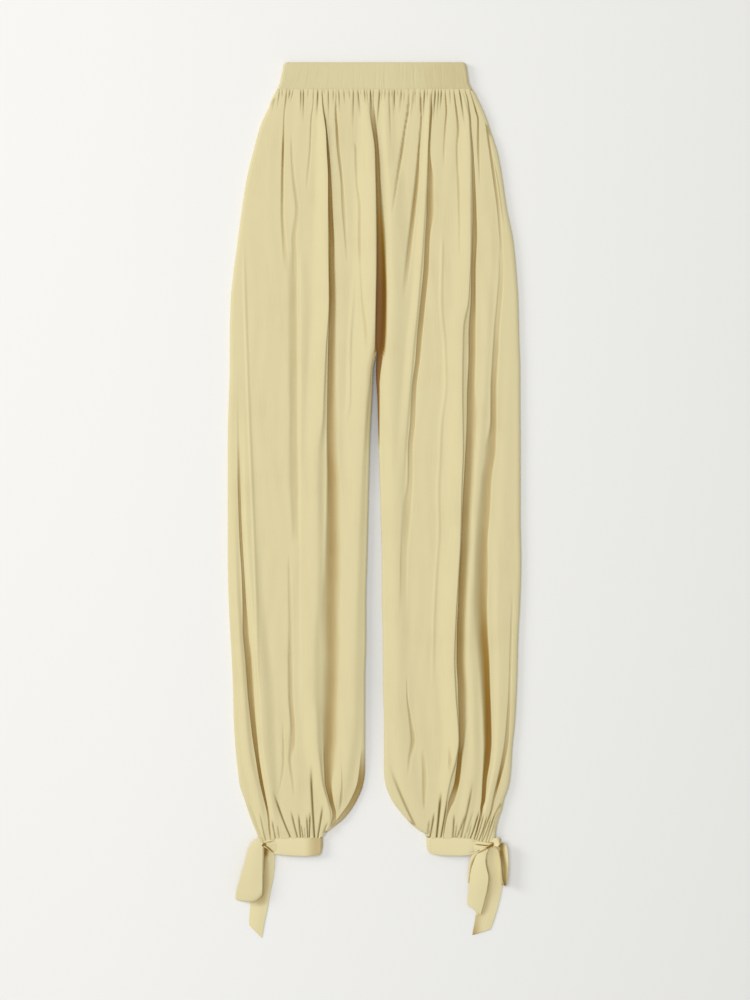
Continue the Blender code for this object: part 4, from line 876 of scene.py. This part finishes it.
def backPanel(name, node, side, seed):
    # A flat sheet on the surface, lifted by shallow creases, each a bell across a wavy line, and by the
    # gathers at both ends; shade is painted where it is lifted.
    y = np.linspace(panel["waist"] - 0.4, panel["cuff"] + 0.4, backLook["rows"])
    outer, inner, towards, joined = legEdges(side, y)
    outer = outer + towards * backLook["inset"]
    inner = inner - towards * (backLook["inset"] * (1 - joined) + 0.2)
    share = np.linspace(0, 1, backLook["columns"])
    x = outer[:, None] + (inner - outer)[:, None] * share
    yy = np.repeat(y[:, None], x.shape[1], axis=1)
    chance = np.random.default_rng(seed)
    lift = np.zeros_like(x)
    for k in range(backLook["creases"]):
        line = 0.08 + 0.84 * (k + chance.uniform(0.2, 0.8)) / backLook["creases"]
        line = line + 0.03 * np.sin(y / chance.uniform(90, 200))
        middle, reach = chance.uniform(-300, 380), chance.uniform(120, 330)
        along = bell((y - middle) / reach)[:, None]
        depth = backLook["creaseDepth"] * chance.uniform(0.5, 1)
        lift += depth * along * bell((share - line[:, None]) / 0.028)
    for k in range(backLook["gathers"]):
        line = (k + chance.uniform(0.3, 0.7)) / backLook["gathers"]
        atWaist = bell((panel["waist"] - yy) / chance.uniform(12, 34))
        atCuff = bell((yy - panel["cuff"]) / chance.uniform(10, 26))
        lift += backLook["gatherDepth"] * (atWaist + atCuff) * bell((share - line) / 0.012)
    lift = np.minimum(lift, backLook["highest"]) * easeIn(share * 12) * easeIn((1 - share) * 12)
    points = np.stack([x, yy, backLook["under"] + lift], axis=-1)
    # Painted shade along the creases and gathers, as much as they lift.
    piece = gridPiece(name, points, flip=towards > 0, values={"fold": lift * backLook["shade"]})
    shell = piece.modifiers.new("shell", "SOLIDIFY")
    shell.thickness, shell.offset = backLook["thick"] * mm, -1.0
    return dress(piece, "panelCloth", node)


backLeft = backPanel("backLeft", "back_left", "left", 21)
backRight = backPanel("backRight", "back_right", "right", 22)
print("back panels ready")

# Rows of a ring: y, x at the left, x at the right. The ribs of the elastic show more to the right, and
# painted shade grows a little towards the right.
waistband = {"node": "waistband", "height": 7.8, "wall": 2.1, "around": 900, "profile": 26, "seed": 5,
             "ribs": 46, "crown": 0.35, "topSide": 3.9, "shadeToRight": 0.2,
             "rows": [(542.1, -129, 130.4), (546, -127.2, 127.6), (552, -124.6, 124.8),
                      (562, -122.2, 123.4), (571, -121, 122.2), (576, -120, 121.2), (578.5, -118, 119)]}
# "top" and "foot": y of the cuff's edges at each x. "pinch": how much of its height is left at each x.
# "creases": from x, y to x, y at the knot, depth and half width. "freeEnd": x where the end away from the
# knot starts to turn down, over how far, and how much shade is painted on it there.
cuffs = {
    "leftCuff": {"node": "left_cuff", "freeEnd": (-95, 18, 0.5),
                 "rows": [(-445.8, -135.0, -68.8), (-458, -135.4, -68.2), (-470.0, -134.2, -69.4)],
                 "top": [(-135, -449.4), (-131, -446.8), (-125, -445.8), (-76, -445.8), (-69, -446.6)],
                 "foot": [(-135, -467.2), (-131, -468.2), (-122, -469.3), (-105, -470.6), (-92, -471.0),
                          (-80, -470.2), (-73, -469.0), (-70.4, -466.6), (-69, -463.0)],
                 "pinch": [(-135, 0.86), (-128, 1.0), (-72, 1.0), (-68, 0.96)],
                 "creases": [(-127, -452.4, -147, -454.4, 0.9, 0.9), (-125, -459.4, -147, -455.6, 0.9, 0.9),
                             (-129, -465.0, -147, -456.6, 1.0, 1.0), (-131, -448.6, -147, -453.2, 0.6, 0.8)]},
    "rightCuff": {"node": "right_cuff", "freeEnd": (76, -8, 0.16),
                  "rows": [(-445.8, 69.2, 141.0), (-458, 68.8, 141.4), (-470.0, 70.4, 140.2)],
                  "top": [(69, -446.8), (76, -445.8), (110, -445.8), (124, -446.8), (134, -448.8),
                          (141, -450.6)],
                  "foot": [(69, -460.6), (71, -464.2), (74.4, -466.8), (82, -469.2), (96, -470.3),
                           (114, -470.4), (128, -469.0), (134, -466.4), (141, -463.0)],
                  "pinch": [(69, 0.96), (73, 1.0), (124, 1.0), (141, 0.88)],
                  "creases": [(122, -455.0, 152, -456.4, 1.3, 1.0), (126, -450.6, 152, -455.2, 0.7, 1.0),
                              (120, -468.4, 152, -457.6, 0.8, 1.1), (130, -460.6, 152, -457.0, 0.7, 0.8)]},
}
everyCuff = {"height": 7.4, "wall": 1.7, "around": 420, "profile": 26, "top": -445.8, "tall": 24.2,
             "crown": 0.25, "topSide": 3.4, "creased": 3.7, "creaseDark": 0.75}


def creaseDips(creases, x, y):
    # Grooves along straight lines that deepen towards the knot.
    dip = np.zeros_like(x)
    for x1, y1, x2, y2, depth, width in creases:
        length = np.hypot(x2 - x1, y2 - y1)
        ux, uy = (x2 - x1) / length, (y2 - y1) / length
        along, away = (x - x1) * ux + (y - y1) * uy, (y - y1) * ux - (x - x1) * uy
        dip = np.maximum(dip, depth * easeIn(along / length * 2.2) * bell(away / width))
    return dip


def pressedRing(ring, rows, relief):
    # A flattened loop (straight above and below, half round at the ends) carried along y, as a closed wall
    # whose section is a rounded bar: out along the outside, round the free edge, back along the inside.
    turn = 2 * np.pi * np.arange(ring["profile"]) / ring["profile"]
    bar = np.sign(np.cos(turn)) * np.abs(np.cos(turn)) ** 0.35
    side = np.sign(np.sin(turn)) * np.abs(np.sin(turn)) ** 0.55
    low, high = sorted((rows[0][0], rows[-1][0]))
    y = (low + high) / 2 + (high - low) / 2 * bar
    depth = ring["wall"] * (0.5 - 0.5 * side)                 # 0 on the outside, the wall on the inside
    left, right = columnAt(rows, y, 1) + depth, columnAt(rows, y, 2) - depth
    bend = (ring["height"] - 2 * depth) / 2
    arc = np.pi * bend.mean()
    straight = (right - left).mean() - 2 * bend.mean()
    lengths = np.array([straight, arc, straight, arc])
    run = np.linspace(0, 2 * (straight + arc), ring["around"], endpoint=False)
    part = np.searchsorted(np.cumsum(lengths), run, side="right")
    start = np.concatenate([[0], np.cumsum(lengths[:3])])[part]
    t = (run - start) / lengths[part]
    l, r, b, d = (v[:, None] for v in (left, right, bend, depth))
    upper, rightEnd, lower = part == 0, part == 1, part == 2
    x = np.select([upper, rightEnd, lower],
                  [l + b + (r - l - 2 * b) * t, r - b + b * np.sin(np.pi * t), r - b - (r - l - 2 * b) * t],
                  l + b - b * np.sin(np.pi * t))
    z = np.select([upper, rightEnd, lower],
                  [2 * b + 0 * t, b + b * np.cos(np.pi * t), 0 * b + 0 * t], b - b * np.cos(np.pi * t)) + d
    yy = y[:, None] + 0 * x
    z = z + np.clip(side, 0, 1)[:, None] * relief(x, yy, z)
    return np.stack([x, yy, z], axis=-1), np.stack([run + 0 * yy, yy], axis=-1)


def bandRelief(x, y, z):
    # Short ribs from the elastic under the cloth, each a narrow upright dip, on a low crown.
    chance = np.random.default_rng(waistband["seed"])
    ribs = np.zeros_like(x)
    for k in range(waistband["ribs"]):
        line, width = chance.uniform(-122, 124), chance.uniform(0.7, 1.6)
        middle, reach = chance.uniform(543, 578), chance.uniform(7, 26)
        strength = chance.uniform(0.10, 0.26) * (0.35 + 0.65 * easeIn((line + 60) / 150))
        ribs -= strength * bell((x - line) / width) * bell((y - middle) / reach)
    crown = waistband["crown"] * np.sin(np.pi * np.clip((y - 542) / 36.5, 0, 1)) ** 0.5
    return np.where(z > waistband["topSide"], ribs + crown, 0)


def cuffRelief(x, y, z):
    # A low crown along the cuff's upper side: half a sine wave from edge to edge.
    crown = everyCuff["crown"] * np.sin(np.pi * np.clip((y + 470) / 24.5, 0, 1))
    return np.where(z > everyCuff["topSide"], crown, 0)


points, uv = pressedRing(waistband, waistband["rows"], bandRelief)
x, z = points[..., 0], points[..., 2]
shadeToRight = waistband["shadeToRight"] * easeIn((x - 20) / 90)          # painted shade, a little darker to the right
# Painted shade where the band's surface lies low near the floor, but not on its underside.
bandShade = (np.clip((3.5 - z) / 6, 0, 1) + shadeToRight) * (z > 0.4)
band = gridPiece("waistband.cloth", points, wrapRows=True, wrapCols=True, uv=uv, values={"fold": bandShade})
dress(band, "bandCloth", waistband["node"])
print("waistband ready")


def cuffPiece(name, cuff):
    # A pressed ring whose edges follow "top" and "foot", so that it narrows to its knot.
    points, uv = pressedRing(everyCuff, cuff["rows"], cuffRelief)
    x, y, z = points[..., 0], points[..., 1], points[..., 2]
    top, foot, pinch = (columnAt(cuff[part], x) for part in ("top", "foot", "pinch"))
    y = top + (y - everyCuff["top"]) / everyCuff["tall"] * (top - foot)
    dips = creaseDips(cuff["creases"], x, y) * (z > everyCuff["creased"])
    points = np.stack([x, y, z * pinch - dips], axis=-1)
    # Painted shade: low on the sides near the floor, in the creases, and on the free end as it turns down.
    start, over, darkness = cuff["freeEnd"]
    share = np.clip((x - start) / over, 0, 1)
    turnShade = darkness * (easeIn(share) if over > 0 else share)
    fold = np.clip((3.0 - z) / 6, 0, 1) * (z > 0.4) + everyCuff["creaseDark"] * np.clip(dips, 0, 1) + turnShade
    piece = gridPiece(name, points, wrapRows=True, wrapCols=True, uv=uv, values={"fold": np.clip(fold, 0, 1)})
    return dress(piece, "tieCloth", cuff["node"])


cuffPieces = {name: cuffPiece(name, cuff) for name, cuff in cuffs.items()}
print("cuffs ready")

# "rows" run from the knot outwards: x, y, z of the middle, width, then in degrees the tilt of the width out
# of the surface and its heading across it. "shade" rows paint shade on the cloth as the folds' rows do, for
# the shadows of loops and tails and for creases; "cut" slants the end by so much, and "round" draws up the
# corners of a loop's end: at the left, at the right, and its y.
ties = {
    "leftLoop": {
        "node": "left_loop", "round": (3, 9.5, -529),
        "shade": [
            (-446, -140, 0, 3, 3, 0.7), (-456, -144.8, 0, 3, 2, 0.5), (-470, -146, 0, 2, 2, 0.12),
            (-500, -146, 0, 2, 2)],
        "rows": [
            (-146.4, -453.4, 8.6, 6, 0, -62), (-149.4, -451.2, 9.8, 10, 0, -52),
            (-153.4, -454, 10.8, 15, 0, -32), (-157, -462, 11.2, 19.6, -3, -12),
            (-159.6, -480, 11.6, 24.2, -4, -5), (-162.5, -500, 11.4, 29.6, -4, -3),
            (-165, -518, 10.6, 34.2, -2, -1), (-165.6, -528, 9.2, 35, 0, 0),
            (-165.8, -531.2, 7.6, 34.6, 0, 0), (-165.4, -528, 6, 34, 0, 0), (-163.4, -516, 5.1, 31, 0, 0),
            (-160, -498, 4.8, 26, 0, 0), (-155, -474, 5, 18, 0, -6), (-150, -457, 5.6, 9, 0, -40)]},
    "leftTail": {
        "node": "left_tail", "cut": -7.2,
        "shade": [
            (-455, -143.4, 0, 6, 6, 1.25), (-468, -144, 0, 6, 6, 1.2), (-474, -145, 0, 5, 6, 0.8),
            (-480, -145.4, 0, 6, 8, 0.66), (-509, -145, 0, 8, 9, 0.52), (-524, -147.5, 0, 10, 9, 0.5),
            (-532, -150, 0, 13, 11, 0.4), (-539, -153, 0, 12, 10)],
        "rows": [
            (-141.4, -456, 3.6, 13, 0, 0), (-141.2, -464, 2.6, 17, 0, 0), (-141.6, -472, 1.8, 19.6, 0, 0),
            (-142.8, -482, 1.3, 22, 0, -2), (-146.4, -500, 0.9, 25, 0, -5), (-151.4, -528, 0.8, 24, 0, -8),
            (-157.6, -571.4, 0.7, 19, 0, -8)]},
    "rightFrontTail": {
        "node": "right_front_tail", "cut": -5.2,
        "shade": [
            (-456, 157, 0, 5, 4, 1), (-461, 147.6, 0, 5, 4, 0.95), (-465.4, 139, 0, 5, 4, 0.9),
            (-470, 129, 0, 4, 4, 0.8), (-476, 122, 0, 4, 4)],
        "rows": [
            (147.6, -459, 8.6, 8, 0, -30), (142.6, -467, 8.8, 11, 3, -16), (139.2, -478, 8.8, 15.6, 5, -2),
            (138.2, -490, 8.6, 21.6, 5, 2), (138.4, -499, 8.2, 24.6, 5, 4), (137, -511, 7.2, 24.6, 4, 4),
            (134.4, -527, 5.4, 22.6, 3, 4), (131.6, -541.8, 4, 20, 2, 4)]},
    "rightBackTail": {
        "node": "right_back_tail", "cut": 6.4,
        "shade": [
            (-456, 154, 0, 6, 4, 1), (-461, 148, 0, 6, 4, 0.95), (-466, 146.4, 0, 4, 3, 0.8),
            (-480, 146.6, 0, 2, 4, 0.6), (-490, 148.6, 0, 2.5, 6, 0.5), (-499, 150.6, 0, 3, 7, 0.42),
            (-521, 148.8, 0, 3, 9, 0.42), (-544, 144, 0, 6, 9, 0.42), (-553, 134, 0, 6, 14, 0.4),
            (-570, 131, 0, 3, 14, 0.62), (-578, 130, 0, 3, 13, 0.8)],
        "rows": [
            (155, -457.4, 5.6, 14, 0, -34), (157.2, -464, 3.6, 19, 0, -26),
            (158.2, -471, 2.2, 22.6, 0, -18), (158.8, -480, 1.4, 25.4, 0, -12),
            (156.4, -500, 0.9, 29.6, 0, -12), (151.6, -528, 0.8, 28.4, 0, -12),
            (141.6, -572.2, 0.8, 21.8, 0, -12)]},
    "rightUnderLoop": {
        "node": "right_under_loop", "round": (3, 3, -508),
        "shade": [
            (-463, 146, 0, 8, 8, 0.6), (-470, 136, 0, 5, 9, 0.85), (-482, 129, 0, 3, 9, 0.85),
            (-499, 126.4, 0, 2.4, 9, 0.8), (-512, 125, 0, 2.4, 9, 0.7)],
        "rows": [
            (147, -461, 6.2, 8, 0, 0), (140, -467, 6.2, 12, 0, 0), (134.6, -477, 6, 17, 0, 0),
            (134.4, -497, 5.7, 21, 0, 0), (134, -505.6, 5.3, 21, 0, 0), (134, -508.8, 4.3, 21, 0, 0),
            (134.2, -505.6, 3.3, 21, 0, 0), (135, -497, 3.1, 20, 0, 0), (139.4, -479, 3.1, 15, 0, 0),
            (145, -469, 3.6, 10, 0, 0), (148, -462.4, 4.2, 8, 0, 0)]},
    "rightSideLoop": {
        "node": "right_side_loop",
        "shade": [
            (-440, 166, 0, 6, 9, 0.2), (-447, 167, 0, 7, 6, 0.42), (-455, 168, 0, 5, 5, 0.9),
            (-464, 168.4, 0, 6, 6, 0.95), (-474, 170.4, 0, 7, 5.4, 0.8), (-490, 173, 0, 8, 6, 0.68),
            (-504, 173, 0, 8, 8, 0.72), (-512, 172, 0, 8, 9, 0.85)],
        "rows": [
            (153, -456.2, 7, 6, 0, -70), (157, -453.8, 7.8, 9.4, 6, -66), (161.6, -452.2, 8.2, 12, 12, -60),
            (165.6, -453, 8.6, 12.8, 20, -42), (169.2, -458, 8.6, 13, 30, -22),
            (171.2, -470, 7.8, 12.8, 36, -6), (171.8, -488, 7.2, 12.6, 38, 0),
            (171.2, -501, 7, 12.2, 44, 4), (170.4, -508.4, 6.6, 12, 56, 6), (168.8, -505.4, 6.6, 11, 74, 4),
            (167.6, -494, 6.6, 10.6, 84, 2), (166.4, -476, 6.8, 10, 86, -4), (163, -462.4, 7, 9, 84, -20),
            (157.8, -456.6, 7.8, 7, 80, -40)]},
}
tieForm = {"thick": 0.7, "cup": 0.2, "along": 170, "around": 30, "shut": 0.6, "slantOver": 16,
           "roundOver": 13, "lowest": 0.1}


def ribbonPoints(tie):
    # A flattened tube carried along the route: each ring is width * cos to the sides and thickness * sin out
    # of the cloth, turned to lie across the route and tilted; both ends close in the last rings.
    line = np.array([row[:3] for row in tie["rows"]], float)
    run = np.concatenate([[0], np.cumsum(np.linalg.norm(np.diff(line, axis=0), axis=1))])
    at = np.linspace(0, run[-1], tieForm["along"])
    x, y, z, width, tilt, heading = (through(run, column, at) for column in zip(*tie["rows"]))
    line = np.stack([x, y, z], axis=-1)
    for _ in range(3):
        line[1:-1] = (line[:-2] + 2 * line[1:-1] + line[2:]) / 4
    way = np.gradient(line, axis=0)
    way /= np.linalg.norm(way, axis=1)[:, None]
    tilt, heading = np.radians(tilt), np.radians(heading)
    across = np.stack([np.cos(tilt) * np.cos(heading), np.cos(tilt) * np.sin(heading), np.sin(tilt)], axis=-1)
    across -= (across * way).sum(1)[:, None] * way
    across /= np.linalg.norm(across, axis=1)[:, None]
    out = np.cross(way, across)
    turn = 2 * np.pi * np.arange(tieForm["around"]) / tieForm["around"]
    flat = np.sign(np.cos(turn)) * np.abs(np.cos(turn)) ** 0.8
    rise = np.sign(np.sin(turn)) * np.abs(np.sin(turn)) ** 0.6
    shut = np.minimum(1, np.minimum(at, run[-1] - at) / tieForm["shut"]) ** 0.5
    half = (width / 2)[:, None] * flat
    thick = (tieForm["thick"] / 2 * np.maximum(shut, 0.02))[:, None] * rise
    cup = tieForm["cup"] * np.cos(np.pi * flat) * np.clip(width / 20, 0, 1)[:, None]
    points = line[:, None] + half[..., None] * across[:, None] + (thick + cup)[..., None] * out[:, None]
    slant = tie.get("cut", 0) * easeIn((at - run[-1] + tieForm["slantOver"]) / tieForm["slantOver"])
    points -= (slant[:, None] * flat)[..., None] * way[:, None]
    if "round" in tie:
        left, right, end = tie["round"]
        near = bell((y - end) / tieForm["roundOver"])[:, None]
        points[..., 1] += near * np.where(flat < 0, left, right) * np.abs(flat) ** 2.6
    points[..., 2] = np.maximum(points[..., 2], tieForm["lowest"])
    uv = np.stack([half + 0 * at[:, None], at[:, None] + 0 * half], axis=-1)
    # Painted shade from the "shade" rows.
    line, _, left, right, darkness = foldColumns(tie["shade"], points[..., 1])
    return points, uv, darkness * hump(points[..., 0] - line, left, right), run[-1], width.mean()


tiePieces, tieSizes = {}, {}
for name, tie in ties.items():
    points, uv, fold, length, width = ribbonPoints(tie)
    tiePieces[name] = gridPiece(name, points, wrapCols=True, capped=True, uv=uv, values={"fold": fold})
    dress(tiePieces[name], "tieCloth", tie["node"])
    tieSizes[name] = (float(width) * mm, float(length) * mm)
print("ties ready")

# Each knot is the cuff's own end, wrung to a point: from and to in x, y, z, half heights and half depths
# along it, and creases as on the cuffs.
knots = {
    "leftKnot": {"node": "left_knot", "from": (-125.0, -458.6, 4.3), "to": (-149.0, -454.0, 7.6),
                 "tall": [(0, 10.4), (0.3, 10.2), (0.6, 7.2), (0.8, 5.0), (1, 4.0)],
                 "deep": [(0, 2.5), (0.3, 3.0), (0.7, 3.4), (1, 2.4)],
                 "creases": [(-130, -469, -145, -455.6, 1.1, 1.0), (-134.4, -463.4, -145, -455.4, 0.8, 0.8),
                             (-129, -449.8, -144, -453.0, 0.6, 0.8),
                             (-141.6, -455.0, -147, -455.0, 1.4, 2.0)]},
    "rightKnot": {"node": "right_knot", "from": (129.0, -458.6, 4.3), "to": (158.0, -455.0, 7.8),
                  "tall": [(0, 9.6), (0.3, 8.0), (0.6, 5.6), (0.85, 3.8), (1, 3.6)],
                  "deep": [(0, 2.5), (0.3, 3.0), (0.7, 3.6), (1, 2.6)],
                  "creases": [(126, -454.4, 157, -457.4, 1.1, 0.9), (126, -470.4, 156, -456.4, 1.3, 1.1),
                              (128, -448.6, 152, -452.4, 0.5, 1.0), (150, -457.4, 158, -454.6, 1.2, 1.4)]},
}
knotForm = {"rings": 90, "around": 120, "pleats": 9, "twist": 0.9, "pleatDepth": 0.14, "creaseDepth": 0.8}


def knotPoints(knot):
    # A tapering, pleated tube with round ends: the radius has pleats that turn a little on their way.
    t = np.linspace(0, 1, knotForm["rings"])
    ends = np.clip(1 - np.abs(2 * t - 1) ** 14, 0.0004, 1)[:, None] ** 0.5
    start, stop = np.array(knot["from"]), np.array(knot["to"])
    line = start + (stop - start) * t[:, None]
    turn = 2 * np.pi * np.arange(knotForm["around"]) / knotForm["around"]
    tall, deep = (columnAt(knot[half], t)[:, None] for half in ("tall", "deep"))
    pleat = np.abs(np.sin(knotForm["pleats"] / 2 * (turn + knotForm["twist"] * t[:, None]))) ** 0.7
    pleat = 1 - (1 - pleat) * easeIn((t[:, None] - 0.22) / 0.25)
    radius = ends * (1 - knotForm["pleatDepth"] + knotForm["pleatDepth"] * pleat)
    x = line[:, :1] + 0 * radius
    y = line[:, 1:2] + tall * radius * np.cos(turn)
    z = line[:, 2:] + deep * radius * np.sin(turn)
    dips = creaseDips(knot["creases"], x, y) * (np.sin(turn) > 0)
    points = np.stack([x, y, np.maximum(z - knotForm["creaseDepth"] * dips, 0.2)], axis=-1)
    # Painted shade in the hollows between the pleats, in the creases, and darkening towards the knot's far
    # end.
    fold = 0.35 * np.clip(0.85 - 1.9 * pleat, 0, 1) + dips + 0.4 * easeIn((t[:, None] - 0.8) / 0.2)
    return points, np.stack([turn * 8 + 0 * x, x], axis=-1), np.clip(fold, 0, 1.2)


knotPieces = {}
for name, knot in knots.items():
    points, uv, fold = knotPoints(knot)
    toRight = knot["to"][0] > knot["from"][0]
    knotPieces[name] = gridPiece(name, points, wrapCols=True, capped=True, flip=toRight, uv=uv,
                                 values={"fold": fold})
    dress(knotPieces[name], "tieCloth", knot["node"])
print("knots ready")

# What each sheet was cut to, in metres: all round on the waistband and the cuffs.
for name, piece in tiePieces.items():
    knot = {"leftLoop": "leftKnot", "rightSideLoop": "rightKnot"}.get(name)
